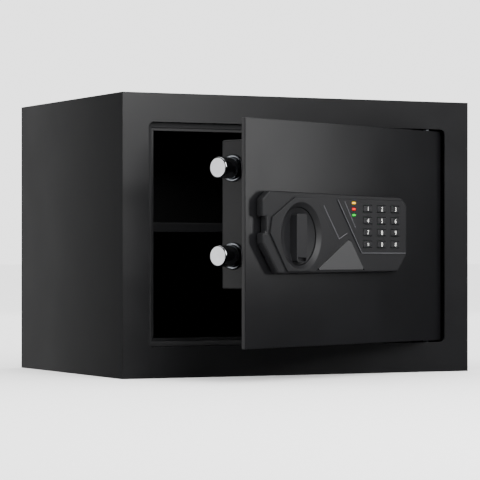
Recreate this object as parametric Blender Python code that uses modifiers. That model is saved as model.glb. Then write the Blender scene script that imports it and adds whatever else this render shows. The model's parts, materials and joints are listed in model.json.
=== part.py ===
"""Digital security safe: folded sheet cabinet, inset door that stands ajar, boltwork and lock.

All sizes and places below are millimetres and the helpers turn them into metres. The frame: +X is
right seen from the front, +Y goes to the back, +Z is up, and the origin is the centre of the
cabinet's footprint on its underside. Door pieces are laid out with the door shut, and an empty on
the hinge axis turns them all to the resting angle.
"""

import math

import bmesh
import bpy
from mathutils import Matrix, Vector

MM = 0.001
GAP = 0.3  # between two pieces that touch

# Cabinet
WIDTH, DEPTH, HEIGHT = 350.0, 250.0, 250.0
SHEET = 2.0
FRONT, BACK = -DEPTH / 2, DEPTH / 2
FRONT_BEND = 4.5  # radius of the two upright front bends
EDGE_BEND = 1.2  # radius of every other outer edge
INNER_SIDE = WIDTH / 2 - SHEET  # inner face of a side wall
BORDER_BACK = FRONT + SHEET
OPENING_HALF, OPENING_LOW, OPENING_HIGH = 150.0, 27.5, 224.5
OPENING_CORNER = 5.0
ANCHOR_HOLE = 6.0  # radius
ANCHOR_HALF_SPACING = 100.0
MAT_HALF, MAT_FRONT, MAT_BACK, MAT_THICKNESS = 168.0, -112.0, 118.0, 2.0
FLOOR_ANCHOR_Y, BACK_ANCHOR_Z = 20.0, 200.0

# Stop lip behind the opening, open at the hinge side
JAMB_WALL = 1.6
LIP_FRONT, LIP_BACK = FRONT + 6.5, FRONT + 8.0
LIP_WIDTH = 7.5
LIP_END = 118.0
SEAL_WIDTH, SEAL_THICKNESS = 6.0, 1.5

# Shelf
SHELF_TOP, SHELF_SHEET, SHELF_LIP = 137.0, 1.2, 8.5
SHELF_HALF, SHELF_FRONT, SHELF_BACK = 168.0, -86.2, 118.0
BRACKET_REACH, BRACKET_DROP, BRACKET_SHEET = 15.0, 13.0, 1.5

# Hinge: pins on the door turn in bushes held by plates behind the front border
PIVOT_X, PIVOT_Y = 134.0, FRONT + 7.0
DOOR_AJAR = 26.0  # degrees
PIN, BUSH_BORE, BUSH_OUTER = 2.5, 2.8, 3.7  # radii
HINGE_PLATE = 4.0
HINGE_PLATE_START, HINGE_PLATE_BACK = 120.0, -100.0
HINGE_PLATES = {  # lower face of the plate, then the ends of its flange on the wall
    "upper": (226.0, 226.0, 246.0),
    "lower": (22.0, 5.0, 26.0),
}
HINGE_BUSHES = {"upper": (225.2, 230.8), "lower": (21.2, 26.8)}
HINGE_PINS = {"upper": (217.0, 231.5), "lower": (20.5, 35.0)}
HINGE_BLOCKS = {"upper": (203.0, 218.0), "lower": (34.0, 49.0)}
HINGE_BLOCK_HALF = 7.0

# Door
DOOR_HALF, DOOR_LOW, DOOR_HIGH, DOOR_THICK = 148.0, 29.25, 222.75, 4.0
DOOR_BACK = FRONT + DOOR_THICK
COVER_LEFT, COVER_RIGHT, COVER_LOW, COVER_HIGH = -138.0, 112.0, 79.0, 205.0
COVER_BACK, COVER_SHEET = -92.0, 1.2
STUD, STUD_BORE = 4.0, 2.0  # radii
STUD_PLACES = [(-128.0, 88.0), (-128.0, 198.0), (104.0, 88.0), (104.0, 198.0)]

# Boltwork
BOLT, BOLT_Y = 9.0, FRONT + 20.5
BOLT_TIP, BOLT_END = -159.0, -120.3
BOLT_HEIGHTS = {"lower": 107.0, "upper": 181.0}
WEB_LEFT, WEB_RIGHT, WEB_BACK = -120.0, -118.0, -95.8
FLANGE_FRONT, FLANGE_BACK = -115.2, -113.2
FLANGE_NARROW, FLANGE_WIDE = -108.0, -98.0  # its edge at the ends and beside the tongue
CARRIAGE_LOW, CARRIAGE_HIGH = 97.5, 190.5
TONGUE_RIGHT, TONGUE_LOW, TONGUE_HIGH = -51.5, 126.0, 147.0
LUG_LEFT, LUG_RIGHT, LUG_LOW, LUG_BACK = -60.5, -54.5, 112.5, -108.5

# Knob, spindle and crank
KNOB_X, KNOB_Z = -81.8, 124.0
DISH, DISH_FLOOR, KNOB_DISC, KNOB_FLOOR = 28.5, 25.0, 24.6, 15.5  # radii
DISH_DEPTH, KNOB_FLOOR_THICK, KNOB_EDGE_THICK = 3.0, 1.8, 5.0
GRIP_ABOVE, GRIP_BELOW, GRIP_WIDE, GRIP_FRONT = 19.2, 22.2, 14.5, -135.0
GRIP_ROUND, GRIP_BEVEL = 2.0, 0.8
INDEX_WIDE, INDEX_LOW, INDEX_HIGH, INDEX_DEEP = 12.0, 0.7, 3.9, 3.0
SPINDLE, SPINDLE_END = 4.0, -115.7
CRANK_THROW, CRANK_START = 14.0, 45.0  # mm from the axis, degrees left of upright
CRANK_FRONT, CRANK_BACK, CRANK_PIN, CRANK_PIN_END = -118.5, -116.0, 2.5, -111.8
CRANK_OFFSET = CRANK_THROW * math.sin(math.radians(CRANK_START))

# Solenoid
SOLENOID_X, SOLENOID_Y = -48.5, -106.0
SOLENOID_HALF_X, SOLENOID_HALF_Y, SOLENOID_LOW, SOLENOID_HIGH = 11.0, 9.0, 82.0, 106.0
PLUNGER, PLUNGER_HEAD, PLUNGER_TOP, PLUNGER_LOW = 3.0, 5.0, 111.0, 86.0
PLUNGER_HEAD_THICK = 1.7
SPRING_RADIUS, SPRING_WIRE, SPRING_TURNS = 3.9, 0.35, 2.0

# Emergency lock behind the light cover
LOCK_X, LOCK_Z = -17.5, 104.0
BARREL, PLUG, TAIL = 8.0, 5.5, 3.0  # radii
BARREL_FRONT, BARREL_BACK, TAIL_END = -131.5, -111.0, -103.5
CAM_FRONT, CAM_BACK, CAM_REACH, CAM_HALF_WIDTH = -107.0, -104.5, 33.0, 3.0

# Lock panel on the door
PANEL_BACK, PANEL_FRONT = FRONT - GAP, FRONT - 8.0
PLATEAU_FRONT, SURROUND_FRONT = FRONT - 8.8, FRONT - 9.6
PANEL_BEVEL, SURROUND_BEVEL = 1.9, 0.4
PANEL_OUTLINE = [
    (-124.0, 162.0), (-134.0, 155.0), (-134.0, 140.0), (-128.5, 140.0), (-128.5, 126.5),
    (-134.0, 126.5), (-134.0, 118.0), (-112.5, 92.0), (66.5, 93.0), (80.5, 108.7),
    (80.5, 153.5), (72.0, 160.0),
]
SURROUND_OUTLINE = [
    (-91.0, 157.0), (-122.5, 140.0), (-125.5, 126.3), (-101.5, 94.0), (-69.0, 94.0),
    (-28.0, 116.0), (-63.5, 157.0),
]
PLATEAU_OUTLINE = [(-28.5, 157.0), (8.0, 109.5), (77.0, 109.5), (77.0, 151.5), (70.0, 157.0)]
COVER_OUTLINE = [(-60.0, 94.5), (13.5, 94.8), (-6.7, 120.0), (-11.5, 121.6)]
COVER_POCKET_FLOOR = -131.6
KEY_COVER_FRONT = -133.5
CAVITY_FRONT = -131.8
BOARD_FRONT, BOARD_BACK = -127.4, -125.8
CABLE_X, CABLE_Z, CABLE = 30.0, 135.0, 5.0
CORE_LEFT, CORE_RIGHT, CORE_LOW, CORE_HIGH = -8.4, 74.5, 111.5, 157.5
CORE_STEP_X, CORE_STEP_Z = 3.5, 124.0

# Keys and lamps
KEY_COLUMNS = [16.8, 38.3, 59.8]
KEY_ROWS = [148.9, 138.4, 127.9, 117.4]
KEY_NAMES = ["1", "2", "3", "4", "5", "6", "7", "8", "9", "star", "0", "hash"]
KEY_WIDE, KEY_HIGH, KEY_FRONT, KEY_BACK = 13.0, 6.0, -134.6, -130.0
LAMP_X, LAMP_WIDE, LAMP_HIGH, LAMP_FRONT, LAMP_BACK = -4.0, 5.2, 2.2, -134.3, -128.5
LAMPS = [
    ("yellow_lamp", 153.7, (0.85, 0.62, 0.05)),
    ("red_lamp", 148.3, (0.65, 0.05, 0.04)),
    ("green_lamp", 143.0, (0.06, 0.45, 0.10)),
]

# Battery compartment in the inner cover
TRAY_LEFT, TRAY_RIGHT, TRAY_LOW, TRAY_HIGH = 27.0, 99.0, 97.0, 161.0
TRAY_FRONT, TRAY_BACK = -113.0, -93.5
TRAY_WALL = 1.5
CELL, CELL_LONG, CELL_Y, CELL_PITCH = 7.25, 50.5, -103.8, 16.5
HATCH_INSET = 3.0
LID_MARGIN, LID_FRONT, LID_BACK = 1.0, -91.7, -89.9
RESET_X, RESET_Z, RESET, RESET_COLLAR = 15.0, 185.0, 4.0, 5.5
RESET_FRONT, RESET_PROUD = -96.0, 2.2

BLACK_PAINT = ((0.030, 0.030, 0.032), 0.45, 0.0)
DOOR_PAINT = ((0.038, 0.038, 0.040), 0.42, 0.0)
BLACK_PLASTIC = ((0.028, 0.028, 0.030), 0.38, 0.0)
GREY_PLASTIC = ((0.10, 0.10, 0.105), 0.45, 0.0)
CHROME = ((0.80, 0.80, 0.82), 0.08, 1.0)
ZINC_STEEL = ((0.55, 0.55, 0.56), 0.35, 1.0)
BRASS = ((0.72, 0.52, 0.22), 0.30, 1.0)


# ---------------------------------------------------------------------------- scene and helpers

for old in list(bpy.data.objects):
    bpy.data.objects.remove(old, do_unlink=True)

safe = bpy.data.collections.new("safe")
cutters = bpy.data.collections.new("cutters")
bpy.context.scene.collection.children.link(safe)
bpy.context.scene.collection.children.link(cutters)

door_pivot = bpy.data.objects.new("door_pivot", None)
door_pivot.location = (PIVOT_X * MM, PIVOT_Y * MM, 0.0)
door_pivot.rotation_euler = (0.0, 0.0, math.radians(DOOR_AJAR))
safe.objects.link(door_pivot)

FACING = {
    "up": Matrix.Identity(4),
    "front": Matrix.Rotation(math.radians(90), 4, "X"),
    "back": Matrix.Rotation(math.radians(-90), 4, "X"),
    "left": Matrix.Rotation(math.radians(-90), 4, "Y"),
}


def place(obj, origin, door, helper=False):
    """Put an object's mesh, drawn in the cabinet's frame, on its own origin and in its collection."""
    obj.data.transform(Matrix.Translation(-Vector(origin) * MM))
    obj.location = Vector(origin) * MM
    (cutters if helper else safe).objects.link(obj)
    if door:
        hang_on_door(obj)
    if helper:
        hide(obj)
    return obj


def hang_on_door(obj):
    """Parent an object that is laid out with the door shut to the turned door empty."""
    obj.parent = door_pivot
    obj.matrix_parent_inverse = Matrix.Translation(-door_pivot.location)


def hide(obj):
    """Mark a cutter."""
    obj.hide_render = True
    obj.display_type = "WIRE"


def mesh_object(name, mesh):
    """A new object, not yet linked."""
    return bpy.data.objects.new(name, mesh)


def box(name, x, y, z, door=False, origin=None, helper=False):
    """A box between two values on each axis."""
    low, high = Vector((x[0], y[0], z[0])) * MM, Vector((x[1], y[1], z[1])) * MM
    mesh = bpy.data.meshes.new(name)
    bm = bmesh.new()
    size = Matrix.Diagonal((*(high - low), 1.0))
    bmesh.ops.create_cube(bm, size=1.0, matrix=Matrix.Translation((low + high) / 2) @ size)
    bm.to_mesh(mesh)
    bm.free()
    middle = (low + high) / 2 / MM
    return place(mesh_object(name, mesh), origin or middle, door, helper)


def rod(name, start, facing, radius, length, door=False, helper=False, segments=32):
    """A plain cylinder from a start point along a facing."""
    mesh = bpy.data.meshes.new(name)
    bm = bmesh.new()
    turn = Matrix.Translation(Vector(start) * MM) @ FACING[facing]
    matrix = turn @ Matrix.Translation((0, 0, length / 2 * MM))
    sizes = {"radius1": radius * MM, "radius2": radius * MM, "depth": length * MM}
    bmesh.ops.create_cone(bm, cap_ends=True, segments=segments, matrix=matrix, **sizes)
    bm.to_mesh(mesh)
    bm.free()
    shade_round(mesh)
    return place(mesh_object(name, mesh), start, door, helper)


def prism(name, outline, y, door=False, origin=None, helper=False):
    """A flat outline of (x, z) points, drawn as a filled curve and extruded between two depths."""
    curve = bpy.data.curves.new(name, "CURVE")
    curve.dimensions = "2D"
    curve.fill_mode = "BOTH"
    curve.extrude = (y[1] - y[0]) / 2 * MM
    spline = curve.splines.new("POLY")
    spline.points.add(len(outline) - 1)
    for point, (x, z) in zip(spline.points, outline):
        point.co = (x * MM, z * MM, 0.0, 1.0)
    spline.use_cyclic_u = True
    drawn = bpy.data.objects.new(name + "_outline", curve)
    drawn.matrix_world = Matrix.Translation((0, sum(y) / 2 * MM, 0)) @ FACING["front"]
    mesh = mesh_from_curve(drawn)
    mesh.name = name
    return place(mesh_object(name, mesh), origin or (0.0, y[0], 0.0), door, helper)


def mesh_from_curve(drawn):
    """The welded mesh of a curve object, in world space. The curve is removed."""
    bpy.context.scene.collection.objects.link(drawn)
    bpy.context.view_layer.update()
    shown = drawn.evaluated_get(bpy.context.evaluated_depsgraph_get())
    mesh = bpy.data.meshes.new_from_object(shown)
    mesh.transform(drawn.matrix_world)
    bpy.data.objects.remove(drawn, do_unlink=True)
    bm = bmesh.new()
    bm.from_mesh(mesh)
    bmesh.ops.remove_doubles(bm, verts=bm.verts, dist=1e-6)
    bmesh.ops.recalc_face_normals(bm, faces=bm.faces)
    bm.to_mesh(mesh)
    bm.free()
    return mesh


def turned(name, profile, at, facing, door=False, helper=False, steps=32):
    """A turned piece. The profile is (radius, height along the facing), down its outer side."""
    mesh = bpy.data.meshes.new(name)
    bm = bmesh.new()
    points = [bm.verts.new((radius * MM, 0.0, height * MM)) for radius, height in profile]
    for one, other in zip(points, points[1:]):
        bm.edges.new((one, other))
    if profile[0][0] > 0:
        bm.edges.new((points[-1], points[0]))
    bm.to_mesh(mesh)
    bm.free()
    obj = mesh_object(name, mesh)
    spin = obj.modifiers.new("turn", "SCREW")
    spin.steps = spin.render_steps = steps
    spin.use_merge_vertices = True
    spin.merge_threshold = 1e-6
    (cutters if helper else safe).objects.link(obj)
    obj.location = Vector(at) * MM
    obj.rotation_euler = FACING[facing].to_euler()
    if door:
        hang_on_door(obj)
    if helper:
        hide(obj)
    return obj


def shade_round(mesh):
    """Smooth shading with sharp rims."""
    mesh.shade_smooth()
    mesh.set_sharp_from_angle(angle=math.radians(35))


def combine(target, operation, others):
    """Boolean the others into the target, in order."""
    for other in others:
        step = target.modifiers.new(other.name, "BOOLEAN")
        step.operation = operation
        step.solver = "EXACT"
        step.object = other
    return target


def cut(target, *others):
    """Take the others away from the target."""
    return combine(target, "DIFFERENCE", others)


def unite(target, *others):
    """Add the others to the target."""
    return combine(target, "UNION", others)


def soften(obj, width, segments=2, angle=35.0):
    """Round an object's sharp edges."""
    bevel = obj.modifiers.new("rounded edges", "BEVEL")
    bevel.width = width * MM
    bevel.segments = segments
    bevel.limit_method = "ANGLE"
    bevel.angle_limit = math.radians(angle)
    return obj


def paint(obj, look):
    """Give an object its own Principled material."""
    colour, roughness, metallic = look
    material = bpy.data.materials.new(obj.name + "_material")
    material.use_nodes = True
    shader = material.node_tree.nodes["Principled BSDF"]
    shader.inputs["Base Color"].default_value = (*colour, 1.0)
    shader.inputs["Roughness"].default_value = roughness
    shader.inputs["Metallic"].default_value = metallic
    obj.data.materials.append(material)
    return obj


def arc(centre, radius, start, end, steps):
    """Points on an arc, in degrees."""
    angles = [math.radians(start + (end - start) * i / steps) for i in range(steps + 1)]
    return [(centre[0] + radius * math.cos(a), centre[1] + radius * math.sin(a)) for a in angles]


def rounded_rectangle(low, high, radius, steps=5):
    """A rectangle outline with four round corners."""
    corners = [
        (high[0], high[1], 0), (low[0], high[1], 90), (low[0], low[1], 180), (high[0], low[1], 270)
    ]
    outline = []
    for x, z, start in corners:
        centre = (x - radius if x == high[0] else x + radius, z - radius if z == high[1] else z + radius)
        outline += arc(centre, radius, start, start + 90, steps)
    return outline


def shrunk(outline, margin):
    """A convex outline moved inwards by a margin."""
    area = sum(x0 * z1 - x1 * z0 for (x0, z0), (x1, z1) in zip(outline, outline[1:] + outline[:1]))
    side = 1.0 if area > 0 else -1.0
    result = []
    for i, (x, z) in enumerate(outline):
        before, after = Vector(outline[i - 1]), Vector(outline[(i + 1) % len(outline)])
        come = (Vector((x, z)) - before).normalized()
        go = (after - Vector((x, z))).normalized()
        inward_a, inward_b = Vector((-come.y, come.x)) * side, Vector((-go.y, go.x)) * side
        move = (inward_a + inward_b) / (1.0 + inward_a.dot(inward_b)) * margin
        result.append((x + move.x, z + move.y))
    return result


def open_frame(left, right, low, high, width):
    """A band along the left, top and bottom of a rectangle, open on the right."""
    return [
        (right, low), (right, low + width), (left + width, low + width), (left + width, high - width),
        (right, high - width), (right, high), (left, high), (left, low),
    ]


# ---------------------------------------------------------------------------- cabinet


def make_cabinet_shell():
    """Top, bottom, sides and front border, folded from one sheet and open at the back."""
    half = WIDTH / 2
    plan = [(half, BACK), (-half, BACK)]
    plan += arc((-half + FRONT_BEND, FRONT + FRONT_BEND), FRONT_BEND, 180, 270, 5)
    plan += arc((half - FRONT_BEND, FRONT + FRONT_BEND), FRONT_BEND, 270, 360, 5)
    shell = prism("cabinet_shell", plan, (0.0, HEIGHT))
    # the outline was drawn in x and z, so this turns it up to stand on the floor plane
    shell.data.transform(Matrix.Rotation(math.radians(-90), 4, "X"))
    shell.data.transform(Matrix.Scale(-1.0, 4, (0, 1, 0)) @ Matrix.Scale(-1.0, 4, (0, 0, 1)))
    shell.location = (0.0, 0.0, 0.0)
    soften(shell, EDGE_BEND, segments=2, angle=60.0)
    room = box(
        "cabinet_room",
        (-INNER_SIDE, INNER_SIDE),
        (BORDER_BACK, BACK + 5),
        (SHEET, HEIGHT - SHEET),
        helper=True,
    )
    doorway = prism(
        "doorway",
        rounded_rectangle((-OPENING_HALF, OPENING_LOW), (OPENING_HALF, OPENING_HIGH), OPENING_CORNER),
        (FRONT - 5, BORDER_BACK + 1),
        helper=True,
    )
    cut(shell, room, doorway)
    for side in (-1, 1):
        start = (side * ANCHOR_HALF_SPACING, FLOOR_ANCHOR_Y, -2.0)
        cut(shell, rod(f"floor_anchor_{side}", start, "up", ANCHOR_HOLE, SHEET + 4, helper=True))
    return paint(shell, BLACK_PAINT)


def make_back_panel():
    """The flat back, inside the end of the shell, with two anchor holes."""
    x = (-INNER_SIDE + GAP, INNER_SIDE - GAP)
    panel = box("back_panel", x, (BACK - GAP - SHEET, BACK - GAP), (SHEET + GAP, HEIGHT - SHEET - GAP))
    for side in (-1, 1):
        start = (side * ANCHOR_HALF_SPACING, BACK + 2, BACK_ANCHOR_Z)
        cut(panel, rod(f"back_anchor_{side}", start, "front", ANCHOR_HOLE, SHEET + 4, helper=True))
    return paint(panel, BLACK_PAINT)


def make_opening_frame():
    """The jamb walls and the stop lip behind them, on three sides."""
    outer = (-OPENING_HALF - JAMB_WALL, LIP_END, OPENING_LOW - JAMB_WALL, OPENING_HIGH + JAMB_WALL)
    frame = prism("opening_frame", open_frame(*outer, JAMB_WALL), (BORDER_BACK + GAP, LIP_BACK))
    lip = prism(
        "stop_lip", open_frame(*outer, JAMB_WALL + LIP_WIDTH), (LIP_FRONT, LIP_BACK), helper=True
    )
    return paint(unite(frame, lip), BLACK_PAINT)


def make_door_seal():
    """A foam strip on the front of the stop lip."""
    edge = 0.6
    outline = open_frame(
        -OPENING_HALF + edge, LIP_END - 4, OPENING_LOW + edge, OPENING_HIGH - edge, SEAL_WIDTH
    )
    back = LIP_FRONT - GAP
    return paint(
        prism("door_seal", outline, (back - SEAL_THICKNESS, back)), ((0.02, 0.02, 0.02), 0.95, 0.0)
    )


def make_floor_mat():
    """A felt mat on the cabinet floor, cut around the floor anchor holes."""
    low = SHEET + GAP
    mat = box("floor_mat", (-MAT_HALF, MAT_HALF), (MAT_FRONT, MAT_BACK), (low, low + MAT_THICKNESS))
    for side in (-1, 1):
        start = (side * ANCHOR_HALF_SPACING, FLOOR_ANCHOR_Y, low - 1)
        cut(mat, rod(f"mat_hole_{side}", start, "up", ANCHOR_HOLE + 3, MAT_THICKNESS + 2, helper=True))
    return paint(mat, ((0.025, 0.025, 0.026), 0.95, 0.0))


def make_shelf():
    """The lift-out shelf with its folded front lip."""
    x = (-SHELF_HALF, SHELF_HALF)
    shelf = box("shelf", x, (SHELF_FRONT, SHELF_BACK), (SHELF_TOP - SHELF_SHEET, SHELF_TOP))
    lip_y = (SHELF_FRONT, SHELF_FRONT + SHELF_SHEET)
    lip = box("shelf_lip", x, lip_y, (SHELF_TOP - SHELF_LIP, SHELF_TOP), helper=True)
    return paint(unite(shelf, lip), BLACK_PAINT)


def make_shelf_bracket(side, name):
    """An angle on a side wall that the shelf rests on."""
    wall, inner = INNER_SIDE - GAP, INNER_SIDE - BRACKET_REACH
    top = SHELF_TOP - SHELF_SHEET - GAP
    y = (SHELF_FRONT + 4, SHELF_BACK - 4)
    ledge = box(name, sorted((side * wall, side * inner)), y, (top - BRACKET_SHEET, top))
    leg_x = sorted((side * wall, side * (wall - BRACKET_SHEET)))
    leg = box(name + "_leg", leg_x, y, (top - BRACKET_DROP, top), helper=True)
    return paint(unite(ledge, leg), BLACK_PAINT)


def make_hinge_plate(end):
    """A plate behind the border that holds a hinge bush, with a flange on the side wall."""
    name = f"{end}_hinge_plate"
    low, wall_low, wall_high = HINGE_PLATES[end]
    side = INNER_SIDE - GAP
    y = (BORDER_BACK + GAP, HINGE_PLATE_BACK)
    plate = box(name, (HINGE_PLATE_START, side), y, (low, low + HINGE_PLATE))
    flange = box(name + "_flange", (side - SHEET, side), y, (wall_low, wall_high), helper=True)
    hole_start = (PIVOT_X, PIVOT_Y, low - 2)
    hole = rod(name + "_hole", hole_start, "up", BUSH_OUTER + GAP, HINGE_PLATE + 4, helper=True)
    return paint(cut(unite(plate, flange), hole), ZINC_STEEL)


def make_hinge_bush(end):
    """A plain brass sleeve around a hinge pin."""
    low, high = HINGE_BUSHES[end]
    profile = [(BUSH_OUTER, high - low), (BUSH_OUTER, 0), (BUSH_BORE, 0), (BUSH_BORE, high - low)]
    at = (PIVOT_X, PIVOT_Y, low)
    return paint(turned(f"{end}_hinge_bush", profile, at, "up", steps=24), BRASS)


# ---------------------------------------------------------------------------- door


def make_door_plate():
    """The thick flat door, its studs for the inner cover and its holes for the lock."""
    plate = box(
        "door_plate", (-DOOR_HALF, DOOR_HALF), (FRONT, DOOR_BACK), (DOOR_LOW, DOOR_HIGH), door=True
    )
    soften(plate, 0.4, segments=2)
    for i, (x, z) in enumerate(STUD_PLACES):
        reach = COVER_BACK - COVER_SHEET - DOOR_BACK - 1.0
        unite(
            plate,
            rod(f"stud_{i}", (x, DOOR_BACK - 1, z), "back", STUD, reach + 1, door=True, helper=True),
        )
        bore = rod(f"stud_bore_{i}", (x, COVER_BACK, z), "front", STUD_BORE, 18, door=True, helper=True)
        cut(plate, bore)
    spindle_hole = (KNOB_X, FRONT - 2, KNOB_Z)
    through = DOOR_THICK + 4
    cut(plate, rod("spindle_hole", spindle_hole, "back", SPINDLE + 1, through, door=True, helper=True))
    barrel_hole = (LOCK_X, FRONT - 2, LOCK_Z)
    cut(plate, rod("barrel_hole", barrel_hole, "back", BARREL + 0.4, through, door=True, helper=True))
    cable_hole = (CABLE_X, FRONT - 2, CABLE_Z)
    cut(plate, rod("cable_hole", cable_hole, "back", CABLE, through, door=True, helper=True))
    return paint(plate, DOOR_PAINT)


def make_hinge_pivot(end):
    """A block on the back of the door with a pin turned on its end."""
    name = f"{end}_hinge_pivot"
    pin_low, pin_high = HINGE_PINS[end]
    x = (PIVOT_X - HINGE_BLOCK_HALF, PIVOT_X + HINGE_BLOCK_HALF)
    y = (DOOR_BACK + GAP, PIVOT_Y + 6)
    origin = (PIVOT_X, PIVOT_Y, HINGE_BLOCKS[end][0])
    block = box(name, x, y, HINGE_BLOCKS[end], door=True, origin=origin)
    pin_start = (PIVOT_X, PIVOT_Y, pin_low)
    pin = rod(
        name + "_pin", pin_start, "up", PIN, pin_high - pin_low, door=True, helper=True, segments=24
    )
    return paint(unite(block, pin), ZINC_STEEL)


def make_inner_cover():
    """The box over the boltwork, with holes for bolts, batteries, reset button and screws."""
    x, z = (COVER_LEFT, COVER_RIGHT), (COVER_LOW, COVER_HIGH)
    cover = box("inner_cover", x, (DOOR_BACK + GAP, COVER_BACK), z, door=True)
    soften(cover, 1.5, segments=2)
    s = COVER_SHEET
    room = box(
        "cover_room",
        (x[0] + s, x[1] - s),
        (DOOR_BACK - 1, COVER_BACK - s),
        (z[0] + s, z[1] - s),
        door=True,
        helper=True,
    )
    cut(cover, room)
    for name, height in BOLT_HEIGHTS.items():
        start = (COVER_LEFT + 4, BOLT_Y, height)
        cut(cover, rod(f"{name}_bolt_hole", start, "left", 10.3, 8, door=True, helper=True))
    hatch = box(
        "battery_hatch",
        (TRAY_LEFT + HATCH_INSET, TRAY_RIGHT - HATCH_INSET),
        (COVER_BACK - 3, COVER_BACK + 3),
        (TRAY_LOW + HATCH_INSET, TRAY_HIGH - HATCH_INSET),
        door=True,
        helper=True,
    )
    reset_start = (RESET_X, COVER_BACK + 3, RESET_Z)
    cut(cover, hatch, rod("reset_hole", reset_start, "front", RESET + 0.4, 6, door=True, helper=True))
    for i, (stud_x, stud_z) in enumerate(STUD_PLACES):
        start = (stud_x, COVER_BACK + 3, stud_z)
        cut(cover, rod(f"screw_hole_{i}", start, "front", STUD_BORE + 0.1, 6, door=True, helper=True))
    return paint(cover, BLACK_PAINT)


def make_cover_screw(number, x, z):
    """A pan-head screw from the inner cover into a stud."""
    head_back = COVER_BACK + 2.4
    profile = [
        (0, 0), (2.6, -0.3), (3.5, -1.2), (3.5, -2.1), (1.7, -2.1), (1.7, -15), (0.6, -16.5), (0, -16.5),
    ]
    screw = turned(f"cover_screw_{number}", profile, (x, head_back, z), "back", door=True, steps=20)
    cross_y = (head_back - 1.3, head_back + 1)
    for wide, high in ((3.4, 0.8), (0.8, 3.4)):
        cross_x, cross_z = (x - wide / 2, x + wide / 2), (z - high / 2, z + high / 2)
        cut(screw, box(f"cross_{number}_{wide}", cross_x, cross_y, cross_z, door=True, helper=True))
    return paint(screw, ZINC_STEEL)


def make_bolt_bush(name, height):
    """A flanged bush in the side of the inner cover."""
    profile = [(11.0, 1.4), (11.5, 0.9), (11.5, 0.0), (10.0, 0.0), (10.0, -5.0), (9.3, -5.0), (9.3, 1.4)]
    at = (COVER_LEFT - GAP, BOLT_Y, height)
    return paint(turned(name, profile, at, "left", door=True, steps=36), ZINC_STEEL)


# ---------------------------------------------------------------------------- boltwork


def make_bolt(name, height):
    """A round live bolt with a chamfered tip."""
    profile = [
        (0, 0), (BOLT - 1.0, 0), (BOLT, -1.0), (BOLT, BOLT_TIP - BOLT_END), (0, BOLT_TIP - BOLT_END)
    ]
    return paint(turned(name, profile, (BOLT_TIP, BOLT_Y, height), "left", door=True, steps=36), CHROME)


def make_bolt_carriage():
    """The slide plate that carries both bolts, with the crank's slot and the blocking lug."""
    carriage = box(
        "bolt_carriage",
        (WEB_LEFT, WEB_RIGHT),
        (FLANGE_FRONT, WEB_BACK),
        (CARRIAGE_LOW, CARRIAGE_HIGH),
        door=True,
    )
    outline = [
        (WEB_LEFT, CARRIAGE_LOW), (WEB_LEFT, CARRIAGE_HIGH),
        (FLANGE_NARROW, CARRIAGE_HIGH), (FLANGE_WIDE, TONGUE_HIGH),
        (TONGUE_RIGHT, TONGUE_HIGH), (TONGUE_RIGHT, TONGUE_LOW),
        (FLANGE_WIDE, TONGUE_LOW), (FLANGE_NARROW, CARRIAGE_LOW),
    ]
    flange = prism("carriage_flange", outline, (FLANGE_FRONT, FLANGE_BACK), door=True, helper=True)
    lug = box(
        "carriage_lug",
        (LUG_LEFT, LUG_RIGHT),
        (FLANGE_FRONT, LUG_BACK),
        (LUG_LOW, TONGUE_LOW + 4),
        door=True,
        helper=True,
    )
    slot_x, half = KNOB_X - CRANK_OFFSET, CRANK_PIN + 0.8
    slot = box(
        "crank_slot",
        (slot_x - half, slot_x + half),
        (FLANGE_FRONT - 2, FLANGE_BACK + 2),
        (KNOB_Z + CRANK_OFFSET - CRANK_PIN - 1, KNOB_Z + CRANK_THROW + CRANK_PIN + 1),
        door=True,
        helper=True,
    )
    return paint(cut(unite(carriage, flange, lug), slot), ZINC_STEEL)


def make_crank():
    """The arm on the spindle's inner end, with the pin that drives the carriage."""
    pin_at = (KNOB_X - CRANK_OFFSET, KNOB_Z + CRANK_OFFSET)
    along = 90.0 + CRANK_START
    outline = arc((KNOB_X, KNOB_Z), 7.5, along + 90, along + 270, 10) + arc(
        pin_at, 4.5, along - 90, along + 90, 8
    )
    origin = (KNOB_X, CRANK_FRONT, KNOB_Z)
    arm = prism("crank", outline, (CRANK_FRONT, CRANK_BACK), door=True, origin=origin)
    start = (pin_at[0], CRANK_BACK - 1, pin_at[1])
    length = CRANK_PIN_END - CRANK_BACK + 1
    pin = rod("crank_pin", start, "back", CRANK_PIN, length, door=True, helper=True, segments=20)
    eye_start = (KNOB_X, CRANK_FRONT - 2, KNOB_Z)
    eye = rod("crank_eye", eye_start, "back", SPINDLE + GAP, 7, door=True, helper=True, segments=24)
    return paint(cut(unite(arm, pin), eye), ZINC_STEEL)


def make_spindle():
    """The shaft from the knob through the door to the crank."""
    start = (KNOB_X, GRIP_FRONT + 3, KNOB_Z)
    length = SPINDLE_END - GRIP_FRONT - 3
    return paint(rod("knob_spindle", start, "back", SPINDLE, length, door=True, segments=24), ZINC_STEEL)


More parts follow.
